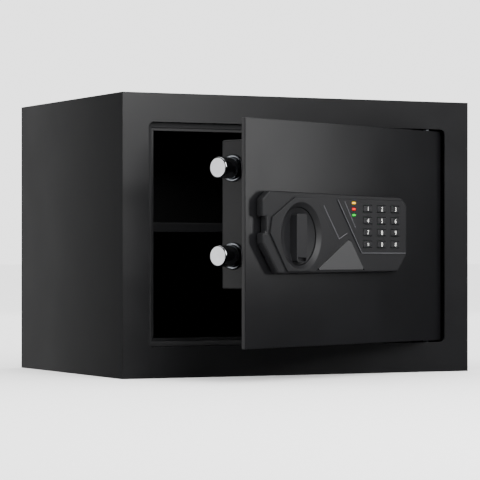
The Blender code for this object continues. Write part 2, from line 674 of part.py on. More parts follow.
def make_knob():
    """The dished knob floor with the grip bar across it, and a small index slot in the bar."""
    disc_back = PANEL_BACK - GAP
    bar_back = disc_back - KNOB_FLOOR_THICK + 1
    profile = [
        (0, KNOB_FLOOR_THICK),
        (KNOB_FLOOR, KNOB_FLOOR_THICK),
        (KNOB_DISC, KNOB_EDGE_THICK),
        (KNOB_DISC, 0),
        (0, 0),
    ]
    knob = turned("knob", profile, (KNOB_X, disc_back, KNOB_Z), "front", door=True, steps=48)
    half, foot = GRIP_WIDE / 2, KNOB_Z - GRIP_BELOW
    low, high = (KNOB_X - half, foot), (KNOB_X + half, KNOB_Z + GRIP_ABOVE)
    outline = rounded_rectangle(low, high, GRIP_ROUND, 3)
    bar = prism("grip_bar", outline, (GRIP_FRONT, bar_back), door=True, helper=True)
    soften(bar, GRIP_BEVEL)
    slot_x = (KNOB_X - INDEX_WIDE / 2, KNOB_X + INDEX_WIDE / 2)
    slot_y, slot_z = (GRIP_FRONT - 1, GRIP_FRONT + INDEX_DEEP), (foot + INDEX_LOW, foot + INDEX_HIGH)
    slot = box("index_slot", slot_x, slot_y, slot_z, door=True, helper=True)
    bore_start = (KNOB_X, disc_back + 2, KNOB_Z)
    bore_length = disc_back + 2 - (GRIP_FRONT + 3 - GAP)
    bore = rod("knob_bore", bore_start, "front", SPINDLE + GAP, bore_length, door=True, helper=True)
    return paint(cut(unite(knob, bar), slot, bore), BLACK_PLASTIC)


def make_knob_surround():
    """The raised many-sided surround with the dish that the knob turns in."""
    y = (SURROUND_FRONT, PANEL_FRONT - GAP)
    surround = prism("knob_surround", SURROUND_OUTLINE, y, door=True, origin=(KNOB_X, y[0], KNOB_Z))
    soften(surround, SURROUND_BEVEL, segments=1)
    collar_start = (KNOB_X, PANEL_BACK - GAP, KNOB_Z)
    collar_length = PANEL_BACK - GAP - PANEL_FRONT + 1
    collar = rod(
        "surround_collar", collar_start, "front", DISH - 0.5, collar_length, door=True, helper=True,
        segments=48,
    )
    rim = SURROUND_FRONT - (PANEL_BACK - GAP)
    profile = [
        (0, 2 - rim),
        (DISH + 0.6, 2 - rim),
        (DISH, -rim),
        (DISH_FLOOR, -rim - DISH_DEPTH),
        (DISH_FLOOR, -2),
        (0, -2),
    ]
    dish = turned("dish", profile, collar_start, "front", door=True, helper=True, steps=48)
    return paint(cut(unite(surround, collar), dish), BLACK_PLASTIC)


# ---------------------------------------------------------------------------- lock


def make_solenoid():
    """The solenoid's body with its bore, and a waist on each side that shows the coil."""
    x = (SOLENOID_X - SOLENOID_HALF_X, SOLENOID_X + SOLENOID_HALF_X)
    y = (SOLENOID_Y - SOLENOID_HALF_Y, SOLENOID_Y + SOLENOID_HALF_Y)
    body = box("solenoid", x, y, (SOLENOID_LOW, SOLENOID_HIGH), door=True)
    for side in (0, 1):
        waist_x = ((x[0] - 1, x[0] + 2.5), (x[1] - 2.5, x[1] + 1))[side]
        waist_z = (SOLENOID_LOW + 2.5, SOLENOID_HIGH - 2.5)
        cut(body, box(f"waist_{side}", waist_x, (y[0] - 1, y[1] + 1), waist_z, door=True, helper=True))
    bore_start = (SOLENOID_X, SOLENOID_Y, SOLENOID_LOW - 2)
    height = SOLENOID_HIGH - SOLENOID_LOW + 4
    bore = rod("solenoid_bore", bore_start, "up", PLUNGER + GAP, height, door=True, helper=True)
    return paint(cut(body, bore), GREY_PLASTIC)


def make_plunger():
    """The rod that blocks the carriage's lug when it rises."""
    top, low = PLUNGER_TOP, PLUNGER_LOW
    neck = top - low - PLUNGER_HEAD_THICK
    profile = [
        (0, top - low), (PLUNGER_HEAD, top - low), (PLUNGER_HEAD, neck), (PLUNGER, neck),
        (PLUNGER, 0), (0, 0),
    ]
    at = (SOLENOID_X, SOLENOID_Y, low)
    return paint(turned("solenoid_plunger", profile, at, "up", door=True, steps=24), ZINC_STEEL)


def make_plunger_spring():
    """The small return spring between the solenoid and the plunger's head."""
    low = SOLENOID_HIGH + GAP + SPRING_WIRE
    high = PLUNGER_TOP - PLUNGER_HEAD_THICK - GAP - SPRING_WIRE
    count = int(SPRING_TURNS * 14)
    curve = bpy.data.curves.new("spring_path", "CURVE")
    curve.dimensions = "3D"
    curve.bevel_depth = SPRING_WIRE * MM
    curve.bevel_resolution = 2
    curve.use_fill_caps = True
    path = curve.splines.new("POLY")
    path.points.add(count)
    for i, point in enumerate(path.points):
        angle = 2 * math.pi * SPRING_TURNS * i / count
        x, y = SPRING_RADIUS * math.cos(angle), SPRING_RADIUS * math.sin(angle)
        z = low + (high - low) * i / count
        point.co = ((SOLENOID_X + x) * MM, (SOLENOID_Y + y) * MM, z * MM, 1.0)
    mesh = mesh_from_curve(bpy.data.objects.new("spring_path", curve))
    spring = place(mesh_object("plunger_spring", mesh), (SOLENOID_X, SOLENOID_Y, low), True)
    return paint(spring, ZINC_STEEL)


def make_lock_barrel():
    """The fixed sleeve of the emergency key lock."""
    long = BARREL_BACK - BARREL_FRONT
    profile = [(BARREL, long), (BARREL, 0), (PLUG + GAP, 0), (PLUG + GAP, long)]
    at = (LOCK_X, BARREL_BACK, LOCK_Z)
    return paint(turned("lock_barrel", profile, at, "front", door=True), ZINC_STEEL)


def make_lock_plug():
    """The turning core of the emergency lock, with its keyway and its tail."""
    front, back = TAIL_END - BARREL_FRONT, TAIL_END - BARREL_BACK
    profile = [(0, front), (PLUG, front), (PLUG, back), (TAIL, back), (TAIL, 0), (0, 0)]
    plug = turned("lock_plug", profile, (LOCK_X, TAIL_END, LOCK_Z), "front", door=True, steps=24)
    keyway = upright_box(
        "keyway", LOCK_X, LOCK_Z, 1.6, 7.0, (BARREL_FRONT - 1, BARREL_FRONT + 9), helper=True
    )
    return paint(cut(plug, keyway), BRASS)


def make_lock_cam():
    """The arm on the plug's tail that comes down on the plunger's head."""
    outline = arc((LOCK_X, LOCK_Z), 6.0, 180, 360, 8)
    outline += arc((LOCK_X, LOCK_Z + CAM_REACH), CAM_HALF_WIDTH, 0, 180, 6)
    origin = (LOCK_X, CAM_FRONT, LOCK_Z)
    cam = prism("lock_cam", outline, (CAM_FRONT, CAM_BACK), door=True, origin=origin)
    hole_start = (LOCK_X, CAM_BACK + 2, LOCK_Z)
    hole = rod("cam_hole", hole_start, "front", TAIL + GAP, 8, door=True, helper=True, segments=24)
    return paint(cut(cam, hole), ZINC_STEEL)


def make_key_cover():
    """The light three-sided cover over the emergency keyhole."""
    outline = shrunk(COVER_OUTLINE, 0.4)
    cover = prism("key_cover", outline, (KEY_COVER_FRONT, COVER_POCKET_FLOOR - GAP), door=True)
    return paint(soften(cover, 0.5), ((0.12, 0.12, 0.125), 0.4, 0.0))


def make_panel_housing():
    """The moulded front of the lock, open at the back, with its raised keypad field."""
    housing = prism("panel_housing", PANEL_OUTLINE, (PANEL_FRONT, PANEL_BACK), door=True)
    soften(housing, PANEL_BEVEL, segments=2)
    plateau = prism(
        "keypad_field", PLATEAU_OUTLINE, (PLATEAU_FRONT, PANEL_FRONT + 1), door=True, helper=True
    )
    soften(plateau, SURROUND_BEVEL, segments=1)
    unite(housing, plateau)
    pocket = prism(
        "key_cover_pocket",
        COVER_OUTLINE,
        (PANEL_FRONT - 2, COVER_POCKET_FLOOR),
        door=True,
        helper=True,
    )
    core = prism(
        "board_room", board_outline(0.0), (CAVITY_FRONT, PANEL_BACK + 1), door=True, helper=True
    )
    knob_start = (KNOB_X, PANEL_BACK + 2, KNOB_Z)
    knob_hole = rod(
        "knob_hole", knob_start, "front", DISH - 0.5 + GAP, 14, door=True, helper=True, segments=48
    )
    barrel_start = (LOCK_X, PANEL_BACK + 2, LOCK_Z)
    barrel_hole = rod(
        "panel_barrel_hole", barrel_start, "front", BARREL + 0.4, 14, door=True, helper=True
    )
    cut(housing, pocket, core, knob_hole, barrel_hole)
    through = (PLATEAU_FRONT - 2, CAVITY_FRONT + 2)
    for name, x, z in key_places():
        wide, high = KEY_WIDE + 2 * GAP, KEY_HIGH + 2 * GAP
        cut(housing, upright_box(name + "_hole", x, z, wide, high, through, helper=True))
    for name, z, _ in LAMPS:
        wide, high = LAMP_WIDE + 2 * GAP, LAMP_HIGH + 2 * GAP
        cut(housing, upright_box(name + "_hole", LAMP_X, z, wide, high, through, helper=True))
    return paint(housing, BLACK_PLASTIC)


def board_outline(margin):
    """The L-shaped outline of the room behind the keypad, less a margin."""
    left, right, low, high = CORE_LEFT + margin, CORE_RIGHT - margin, CORE_LOW + margin, CORE_HIGH - margin
    step_x, step_z = CORE_STEP_X + margin, CORE_STEP_Z + margin
    return [(right, high), (left, high), (left, step_z), (step_x, step_z), (step_x, low), (right, low)]


def make_circuit_board():
    """The board behind the keys and lamps."""
    board = prism("circuit_board", board_outline(1.0), (BOARD_FRONT, BOARD_BACK), door=True)
    return paint(board, ((0.02, 0.12, 0.05), 0.5, 0.0))


def key_places():
    """Each key's node name and centre, in reading order."""
    spots = [(x, z) for z in KEY_ROWS for x in KEY_COLUMNS]
    return [(f"key_{name}", x, z) for name, (x, z) in zip(KEY_NAMES, spots)]


def upright_box(name, x, z, wide, high, y, helper=False):
    """A door box given by its centre, width and height."""
    across, up = (x - wide / 2, x + wide / 2), (z - high / 2, z + high / 2)
    return box(name, across, y, up, door=True, helper=helper)


def make_keys():
    """Twelve separate keys."""
    for name, x, z in key_places():
        key = upright_box(name, x, z, KEY_WIDE, KEY_HIGH, (KEY_FRONT, KEY_BACK))
        paint(soften(key, 0.5), GREY_PLASTIC)


def make_lamps():
    """Three lamp lenses."""
    for name, z, colour in LAMPS:
        lens = upright_box(name, LAMP_X, z, LAMP_WIDE, LAMP_HIGH, (LAMP_FRONT, LAMP_BACK))
        paint(soften(lens, 0.3), (colour, 0.25, 0.0))


# ---------------------------------------------------------------------------- batteries


def make_battery_tray():
    """The open tray for four cells."""
    x, y, z = (TRAY_LEFT, TRAY_RIGHT), (TRAY_FRONT, TRAY_BACK), (TRAY_LOW, TRAY_HIGH)
    tray = box("battery_tray", x, y, z, door=True)
    w = TRAY_WALL
    room = box(
        "tray_room",
        (x[0] + w, x[1] - w),
        (y[0] + w, y[1] + 2),
        (z[0] + w, z[1] - w),
        door=True,
        helper=True,
    )
    return paint(cut(tray, room), BLACK_PLASTIC)


def make_battery_cells():
    """Four AA cells side by side."""
    middle, low = (TRAY_LEFT + TRAY_RIGHT) / 2, (TRAY_LOW + TRAY_HIGH - CELL_LONG) / 2
    for i in range(4):
        x = middle + (i - 1.5) * CELL_PITCH
        nub, top = CELL_LONG, CELL_LONG - 1.2
        profile = [
            (0, nub),
            (2.7, nub),
            (2.7, top),
            (CELL - 0.6, top),
            (CELL, top - 0.6),
            (CELL, 0),
            (0, 0),
        ]
        cell = turned(f"battery_cell_{i + 1}", profile, (x, CELL_Y, low), "up", door=True, steps=28)
        paint(cell, ((0.25, 0.20, 0.08), 0.35, 0.6))


def make_battery_lid():
    """The lid that slides up off the battery compartment."""
    x = (TRAY_LEFT - LID_MARGIN, TRAY_RIGHT + LID_MARGIN)
    z = (TRAY_LOW - LID_MARGIN, TRAY_HIGH + LID_MARGIN)
    lid = soften(box("battery_lid", x, (LID_FRONT, LID_BACK), z, door=True), 0.4)
    middle = (x[0] + x[1]) / 2
    grip = box(
        "lid_grip",
        (middle - 12, middle + 12),
        (LID_BACK - 0.8, LID_BACK + 2),
        (z[0] + 5, z[0] + 9),
        door=True,
        helper=True,
    )
    return paint(cut(lid, grip), BLACK_PLASTIC)


def make_reset_button():
    """The button inside the door that sets a new code."""
    long = COVER_BACK + RESET_PROUD - RESET_FRONT
    profile = [
        (0, long),
        (RESET - 0.5, long),
        (RESET, long - 0.5),
        (RESET, 1.2),
        (RESET_COLLAR, 1.2),
        (RESET_COLLAR, 0),
        (0, 0),
    ]
    at = (RESET_X, RESET_FRONT, RESET_Z)
    button = turned("reset_button", profile, at, "back", door=True, steps=28)
    return paint(button, ((0.45, 0.03, 0.03), 0.4, 0.0))


# ---------------------------------------------------------------------------- assembly

make_cabinet_shell()
make_back_panel()
make_opening_frame()
make_door_seal()
make_floor_mat()
make_shelf()
make_shelf_bracket(-1, "shelf_bracket_left")
make_shelf_bracket(1, "shelf_bracket_right")
for hinge_end in HINGE_PLATES:
    make_hinge_plate(hinge_end)
    make_hinge_bush(hinge_end)

make_door_plate()
for hinge_end in HINGE_BLOCKS:
    make_hinge_pivot(hinge_end)
make_inner_cover()
for index, (stud_x, stud_z) in enumerate(STUD_PLACES):
    make_cover_screw(index + 1, stud_x, stud_z)

for position, bolt_height in BOLT_HEIGHTS.items():
    make_bolt_bush(f"{position}_bolt_bush", bolt_height)
    make_bolt(f"{position}_bolt", bolt_height)
make_bolt_carriage()
make_crank()
make_spindle()
make_knob()
make_knob_surround()

make_solenoid()
make_plunger()
make_plunger_spring()
make_lock_barrel()
make_lock_plug()
make_lock_cam()
make_key_cover()

make_panel_housing()
make_circuit_board()
make_keys()
make_lamps()

make_battery_tray()
make_battery_cells()
make_battery_lid()
make_reset_button()
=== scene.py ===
"""A small steel safe with an electronic lock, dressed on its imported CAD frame."""

import json
import logging
import math
from dataclasses import dataclass
from enum import Enum

import bmesh
import bpy
import numpy as np
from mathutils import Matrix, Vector

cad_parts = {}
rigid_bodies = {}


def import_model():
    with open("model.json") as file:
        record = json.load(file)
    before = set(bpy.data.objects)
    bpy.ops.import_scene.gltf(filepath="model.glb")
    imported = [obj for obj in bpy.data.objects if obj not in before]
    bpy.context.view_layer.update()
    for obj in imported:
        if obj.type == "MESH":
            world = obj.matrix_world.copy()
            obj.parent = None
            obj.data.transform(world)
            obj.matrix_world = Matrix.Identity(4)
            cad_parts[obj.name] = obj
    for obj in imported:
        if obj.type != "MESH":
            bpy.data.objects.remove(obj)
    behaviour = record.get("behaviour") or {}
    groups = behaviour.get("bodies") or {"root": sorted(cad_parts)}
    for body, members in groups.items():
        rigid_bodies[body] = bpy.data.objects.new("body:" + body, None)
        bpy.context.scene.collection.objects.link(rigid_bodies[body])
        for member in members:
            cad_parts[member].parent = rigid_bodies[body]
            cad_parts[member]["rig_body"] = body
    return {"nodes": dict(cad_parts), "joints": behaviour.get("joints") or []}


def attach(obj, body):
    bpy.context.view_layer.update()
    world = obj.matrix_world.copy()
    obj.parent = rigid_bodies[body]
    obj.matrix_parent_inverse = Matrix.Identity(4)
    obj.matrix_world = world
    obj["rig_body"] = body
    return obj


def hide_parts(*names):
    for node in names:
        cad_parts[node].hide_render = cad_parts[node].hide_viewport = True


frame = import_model()

log = logging.getLogger("safe")

MM = 0.001
MERGE = 0.000001  # m, under which two vertices are the same point
CREASE = 32.0  # degrees, over which an edge is sharp and gets rolled
WAVE_RATE = 20.0  # radians that a wave texture's bands turn in one unit of scaled length
FORWARD = np.array([0.0, -1.0, 0.0])

Ring = np.ndarray
Pairs = list[tuple[float, float]]
Place = tuple[float, float, float]
Mesh = bpy.types.Mesh
Tree = bpy.types.NodeTree
Node = bpy.types.Node
Socket = bpy.types.NodeSocket
Links = dict[str | int, Socket]
Settings = dict[str | int, object]


# ---------- nodes and colour


def linear(colour: str) -> tuple[float, float, float, float]:
    """Turn an sRGB hex colour into linear light.

    Args:
        colour: Six hex digits after a hash.

    Returns:
        Red, green, blue and an alpha of one.
    """
    srgb = np.array([int(colour[i : i + 2], 16) for i in (1, 3, 5)]) / 255.0
    light = np.where(srgb <= 0.04045, srgb / 12.92, ((srgb + 0.055) / 1.055) ** 2.4)
    return (*(float(part) for part in light), 1.0)


def add_node(
    tree: Tree, kind: str, settings: Settings | None = None, links: Links | None = None
) -> Node:
    """Add one node with its settings and its links.

    Args:
        tree: The material's node tree.
        kind: The node's type name.
        settings: Values by input name or number, or by property name in lower case.
        links: Output sockets by the input that they feed.

    Returns:
        The new node.
    """
    node = tree.nodes.new(kind)
    for key, value in (settings or {}).items():
        if isinstance(key, str) and key[0].islower():
            setattr(node, key, value)
        else:
            node.inputs[key].default_value = value
    for key, socket in (links or {}).items():
        tree.links.new(socket, node.inputs[key])
    return node


# ---------- finishes


@dataclass(frozen=True)
class Skin:
    """A material being made: its node tree, its shader and the link that places its patterns."""

    tree: Tree
    shader: Node
    place: Links


@dataclass(frozen=True)
class Finish:
    """What every finish shares: a name, a base colour and typical surface values."""

    name: str
    colour: str
    roughness: float = 0.45
    metallic: float = 0.0
    turn: float = 0.0  # degrees about the vertical, so that a pattern lines up with the door

    def material(self) -> bpy.types.Material:
        """Make this finish's material, once.

        Returns:
            The material.
        """
        known = bpy.data.materials.get(self.name)
        if known:
            return known
        material = bpy.data.materials.new(self.name)
        material.use_nodes = True
        tree = material.node_tree
        tree.nodes.clear()
        look = {"Base Color": linear(self.colour), "Roughness": self.roughness}
        look["Metallic"] = self.metallic
        shader = add_node(tree, "ShaderNodeBsdfPrincipled", look)
        add_node(tree, "ShaderNodeOutputMaterial", links={"Surface": shader.outputs["BSDF"]})
        coordinates = add_node(tree, "ShaderNodeTexCoord")
        turned = add_node(
            tree,
            "ShaderNodeMapping",
            {"Rotation": (0.0, 0.0, -math.radians(self.turn))},
            {"Vector": coordinates.outputs["Object"]},
        )
        self.dress(Skin(tree, shader, {"Vector": turned.outputs["Vector"]}))
        return material

    def dress(self, skin: Skin) -> None:
        """Add this finish's own pattern, where it has one."""

    def mottle(self, skin: Skin, size: float, other: str, spread: float) -> None:
        """Let colour and roughness drift slowly over the surface, as handling and batch do.

        Args:
            skin: The material's nodes.
            size: Size of one patch in millimetres.
            other: The second colour.
            spread: How far the roughness moves to each side.
        """
        patches = add_node(
            skin.tree,
            "ShaderNodeTexNoise",
            {"Scale": 1.0 / (size * MM), "Detail": 4.0, "Roughness": 0.6},
            skin.place,
        )
        blend = add_node(
            skin.tree,
            "ShaderNodeMix",
            {"data_type": "RGBA", 6: linear(self.colour), 7: linear(other)},
            {0: patches.outputs["Fac"]},
        )
        skin.tree.links.new(blend.outputs[2], skin.shader.inputs["Base Color"])
        low, high = self.roughness - spread, self.roughness + spread
        polish = add_node(
            skin.tree,
            "ShaderNodeMapRange",
            {"From Min": 0.3, "From Max": 0.7, "To Min": low, "To Max": high},
            {"Value": patches.outputs["Fac"]},
        )
        skin.tree.links.new(polish.outputs["Result"], skin.shader.inputs["Roughness"])

    def emboss(self, skin: Skin, height: Socket, depth: float, strength: float) -> None:
        """Turn a height into relief.

        Args:
            skin: The material's nodes.
            height: The height, from 0 to 1.
            depth: What a height of 1 stands for, in millimetres.
            strength: The share of it that shows.
        """
        relief = add_node(
            skin.tree,
            "ShaderNodeBump",
            {"Strength": strength, "Distance": depth * MM},
            {"Height": height},
        )
        skin.tree.links.new(relief.outputs["Normal"], skin.shader.inputs["Normal"])


@dataclass(frozen=True)
class PowderCoat(Finish):
    """Satin black polyester powder, baked on: a soft orange peel breaks up every reflection.

    The real peel is about 1 mm from crest to crest, and is drawn at 2.4 mm so that it shows.
    """

    peel: float = 2.4
    drift: str = "#131315"
    depth: float = 0.05

    def dress(self, skin: Skin) -> None:
        """Lay slow patches of gloss under a fine orange peel.

        Args:
            skin: The material's nodes.
        """
        self.mottle(skin, 60.0, self.drift, 0.02)
        peel = add_node(
            skin.tree,
            "ShaderNodeTexNoise",
            {"Scale": 1.0 / (self.peel * MM), "Detail": 2.0, "Roughness": 0.5},
            skin.place,
        )
        self.emboss(skin, peel.outputs["Fac"], self.depth, 0.35)


@dataclass(frozen=True)
class MouldedAbs(Finish):
    """Injection-moulded ABS from a spark-eroded tool: an even fine grain and a dull sheen.

    The real grain is about 0.2 mm, and is drawn at 0.7 mm so that it shows.
    """

    grain: float = 0.7
    drift: str = "#19191b"

    def dress(self, skin: Skin) -> None:
        """Etch a pitted grain over faint flow patches.

        Args:
            skin: The material's nodes.
        """
        self.mottle(skin, 35.0, self.drift, 0.03)
        grain = add_node(
            skin.tree,
            "ShaderNodeTexVoronoi",
            {"Scale": 1.0 / (self.grain * MM), "feature": "SMOOTH_F1", "Smoothness": 0.6},
            skin.place,
        )
        self.emboss(skin, grain.outputs["Distance"], 0.03, 0.25)


@dataclass(frozen=True)
class TurnedMetal(Finish):
    """Metal turned on a lathe and then plated or left bright: fine rings run round the axis.

    The real rings are 0.1 mm apart. They are drawn 2 mm apart, each ridge and each groove 1 mm
    wide, so that they show.
    """

    along: str = "X"
    ridge: float = 1.0
    drift: str = "#c2c4c8"
    rings: float = 0.12

    def dress(self, skin: Skin) -> None:
        """Cut rings of the lathe over slow patches in the plating.

        Args:
            skin: The material's nodes.
        """
        self.mottle(skin, 14.0, self.drift, 0.03)
        rings = add_node(
            skin.tree,
            "ShaderNodeTexWave",
            {
                "bands_direction": self.along,
                "Scale": math.pi / (WAVE_RATE * self.ridge * MM),
                "Distortion": 1.5,
                "Detail": 3.0,
                "Detail Scale": 2.0,
            },
            skin.place,
        )
        self.emboss(skin, rings.outputs["Fac"], 0.02, self.rings)


@dataclass(frozen=True)
class ZincPlate(Finish):
    """Pressed steel with bright zinc plating: grey with cloudy crystals and rolling lines."""

    crystal: float = 5.0
    drift: str = "#8f949a"
    rolling: Place = (40.0, 900.0, 900.0)  # marks in a metre on each axis

    def dress(self, skin: Skin) -> None:
        """Grow crystals in the plating, and long scratches from rolling.

        Args:
            skin: The material's nodes.
        """
        self.mottle(skin, self.crystal, self.drift, 0.08)
        stretched = add_node(
            skin.tree, "ShaderNodeMapping", {"Scale": self.rolling}, skin.place
        )
        lines = add_node(
            skin.tree,
            "ShaderNodeTexNoise",
            {"Scale": 1.0, "Detail": 3.0},
            {"Vector": stretched.outputs["Vector"]},
        )
        self.emboss(skin, lines.outputs["Fac"], 0.02, 0.3)


@dataclass(frozen=True)
class SoftPile(Finish):
    """Needled felt or closed-cell foam: no shine, and a surface of fibres or burst cells."""

    cell: float = 1.2
    drift: str = "#1c1c1e"
    sheen: float = 0.0

    def dress(self, skin: Skin) -> None:
        """Raise fibre clumps in colour and in relief.

        Args:
            skin: The material's nodes.
        """
        skin.shader.inputs["Sheen Weight"].default_value = self.sheen
        self.mottle(skin, self.cell * 4.0, self.drift, 0.04)
        cells = add_node(
            skin.tree,
            "ShaderNodeTexNoise",
            {"Scale": 1.0 / (self.cell * MM), "Detail": 6.0, "Roughness": 0.8},
            skin.place,
        )
        self.emboss(skin, cells.outputs["Fac"], 0.4, 0.7)


@dataclass(frozen=True)
class LampLens(Finish):
    """A tinted acrylic lens over a lit diode, with fine diffusing ribs."""

    glow: float = 0.05
    index: float = 1.49
    ribs: float = 300.0  # scale of the wave texture

    def dress(self, skin: Skin) -> None:
        """Add ribs about 1 mm apart in relief, and a steady glow of the lens colour.

        Args:
            skin: The material's nodes.
        """
        skin.shader.inputs["Emission Color"].default_value = linear(self.colour)
        skin.shader.inputs["Emission Strength"].default_value = self.glow
        skin.shader.inputs["IOR"].default_value = self.index
        ribs = add_node(
            skin.tree, "ShaderNodeTexWave", {"bands_direction": "Z", "Scale": self.ribs}, skin.place
        )
        self.emboss(skin, ribs.outputs["Fac"], 0.05, 0.4)


@dataclass(frozen=True)
class ScreenPrint(Finish):
    """Screen-printed ink: a flat pale film, slightly uneven over patches of 0.8 mm."""

    drift: str = "#dcdcd6"

    def dress(self, skin: Skin) -> None:
        """Make the ink faintly uneven."""
        self.mottle(skin, 0.8, self.drift, 0.05)


@dataclass(frozen=True)
class SolderMask(Finish):
    """Glass-epoxy laminate under green solder mask: the copper tracks show as pale lines."""

    track: float = 2.2
    copper: str = "#3f9a5c"

    def dress(self, skin: Skin) -> None:
        """Print straight tracks from the edges between square cells.

        Args:
            skin: The material's nodes.
        """
        cells = add_node(
            skin.tree,
            "ShaderNodeTexVoronoi",
            {"Scale": 1.0 / (self.track * MM), "feature": "DISTANCE_TO_EDGE", "Randomness": 0.5},
            skin.place,
        )
        ramp = add_node(
            skin.tree,
            "ShaderNodeMapRange",
            {"From Min": 0.06, "From Max": 0.12},
            {"Value": cells.outputs["Distance"]},
        )
        blend = add_node(
            skin.tree,
            "ShaderNodeMix",
            {"data_type": "RGBA", 6: linear(self.copper), 7: linear(self.colour)},
            {0: ramp.outputs["Result"]},
        )
        skin.tree.links.new(blend.outputs[2], skin.shader.inputs["Base Color"])
        self.emboss(skin, cells.outputs["Distance"], 0.05, 0.4)


@dataclass(frozen=True)
class CellSleeve(Finish):
    """A printed shrink sleeve on a steel can: a bronze shoulder above a black body."""

    shoulder: float = 0.139  # m above the ground
    bronze: str = "#a8763a"
    wrinkle: float = 260.0  # wrinkles in a metre

    def dress(self, skin: Skin) -> None:
        """Print two colour bands by height, with faint wrinkles from shrinking.

        Args:
            skin: The material's nodes.
        """
        parts = add_node(skin.tree, "ShaderNodeSeparateXYZ", links=skin.place)
        band = add_node(
            skin.tree,
            "ShaderNodeMath",
            {"operation": "GREATER_THAN", 1: self.shoulder},
            {0: parts.outputs["Z"]},
        )
        blend = add_node(
            skin.tree,
            "ShaderNodeMix",
            {"data_type": "RGBA", 6: linear(self.colour), 7: linear(self.bronze)},
            {0: band.outputs["Value"]},
        )
        skin.tree.links.new(blend.outputs[2], skin.shader.inputs["Base Color"])
        wrinkles = add_node(
            skin.tree, "ShaderNodeTexNoise", {"Scale": self.wrinkle, "Detail": 2.0}, skin.place
        )
        self.emboss(skin, wrinkles.outputs["Fac"], 0.05, 0.3)


@dataclass(frozen=True)
class StudioPaper(Finish):
    """Matt seamless studio paper: an even pale ground with a barely visible fibre."""

    drift: str = "#fbfbfb"
    shine: float = 0.1

    def dress(self, skin: Skin) -> None:
        """Give the paper its fibre."""
        skin.shader.inputs["Specular IOR Level"].default_value = self.shine
        self.mottle(skin, 9.0, self.drift, 0.02)


DOOR_TURN = 26.0  # degrees, how far the door stands open

CABINET_COAT = PowderCoat("satin_black_powder_coat_cabinet", "#0e0e0f", 0.34)
DOOR_COAT = PowderCoat("satin_black_powder_coat_door", "#0b0b0c", 0.30, peel=2.0)
LINER_COAT = PowderCoat("satin_black_powder_coat_inner_cover", "#101011", 0.40, peel=2.2)
PANEL_ABS = MouldedAbs("moulded_black_abs", "#151517", 0.50)
KNOB_ABS = MouldedAbs("moulded_black_abs_knob", "#151517", 0.44, grain=0.6)
KEY_ABS = MouldedAbs("moulded_grey_abs_keys", "#18181a", 0.46, drift="#1d1d1f")
# painted highlight: the raised lines are the panel's own black ABS, coloured lighter to stand for
# the light along their crests
RIDGE_ABS_PAINTED_HIGHLIGHT = MouldedAbs("black_abs_ridge_painted_highlight", "#3c3c3f", 0.38, drift="#424245")
COVER_ABS = MouldedAbs("moulded_light_grey_abs", "#2d2d2e", 0.44, drift="#313132")
RED_ABS = MouldedAbs("moulded_red_abs", "#8f1512", 0.35, drift="#a01a15")
COIL_STEEL = MouldedAbs("wound_coil_in_grey_yoke", "#5a5c60", 0.45, drift="#4c4e52")
CHROME = TurnedMetal("hard_chrome_on_turned_steel", "#dadbde", 0.12, 1.0, DOOR_TURN)
ZINC = ZincPlate("bright_zinc_on_pressed_steel", "#b4b8bd", 0.32, 1.0)
ZINC_DOOR = ZincPlate("bright_zinc_on_door_fittings", "#b4b8bd", 0.32, 1.0, DOOR_TURN)
BRASS = TurnedMetal("turned_brass", "#c79a4b", 0.25, 1.0, along="Z", drift="#b0843c")
FOAM = SoftPile("closed_cell_foam", "#141415", 0.92, cell=0.9)
FELT = SoftPile("needled_black_felt", "#19191b", 0.95, cell=1.6, drift="#2a2a2d", sheen=0.3)
LEGEND_INK = ScreenPrint("white_screen_print", "#f2f2ee", 0.5)
BOARD = SolderMask("green_solder_mask", "#14502c", 0.35)
SLEEVE = CellSleeve("printed_cell_sleeve", "#141416", 0.30)
YELLOW_LENS = LampLens("lit_yellow_acrylic", "#d9a400", 0.22)
RED_LENS = LampLens("lit_red_acrylic", "#c80c08", 0.22)
GREEN_LENS = LampLens("lit_green_acrylic", "#08a028", 0.22)
PAPER = StudioPaper("seamless_studio_paper", "#f6f6f6", 0.9)


# ---------- shapes


@dataclass(frozen=True)
class HungDoor:
    """Where the door stands at rest, so that door pieces can be drawn with the door shut."""

    pivot: tuple[float, float]
    angle: float

    @classmethod
    def from_frame(cls) -> "HungDoor":
        """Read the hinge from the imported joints.

        Returns:
            The hinge's place in millimetres, and the angle at which the door stands.
        """
        hinge = next(joint for joint in frame["joints"] if joint["name"] == "door_hinge")
        x, y, _ = hinge["pos_m"]
        return cls((x / MM, y / MM), math.radians(-hinge["range_deg"][0]))

    def swing(self, points: np.ndarray) -> np.ndarray:
        """Turn points about the hinge: the pivot, plus the turned offset from the pivot.

        Args:
            points: Points in millimetres with the door shut, along the last axis.

        Returns:
            The same points where the door stands at rest.
        """
        x, y = points[..., 0] - self.pivot[0], points[..., 1] - self.pivot[1]
        cos, sin = math.cos(self.angle), math.sin(self.angle)
        turned_x, turned_y = self.pivot[0] + cos * x - sin * y, self.pivot[1] + sin * x + cos * y
        return np.stack([turned_x, turned_y, points[..., 2]], axis=-1)


DOOR = HungDoor.from_frame()


class Facing(Enum):
    """The axis that a turned piece grows along, with the two directions across it."""

    BACK = ((0, 1, 0), (0, 0, 1), (1, 0, 0))
    LEFT = ((-1, 0, 0), (0, 0, 1), (0, 1, 0))
    UP = ((0, 0, 1), (1, 0, 0), (0, 1, 0))


class Cap(Enum):
    """How the two ends of a surface are closed."""

    ENDS = "flat faces at both ends"
    RING = "the last ring joins the first"


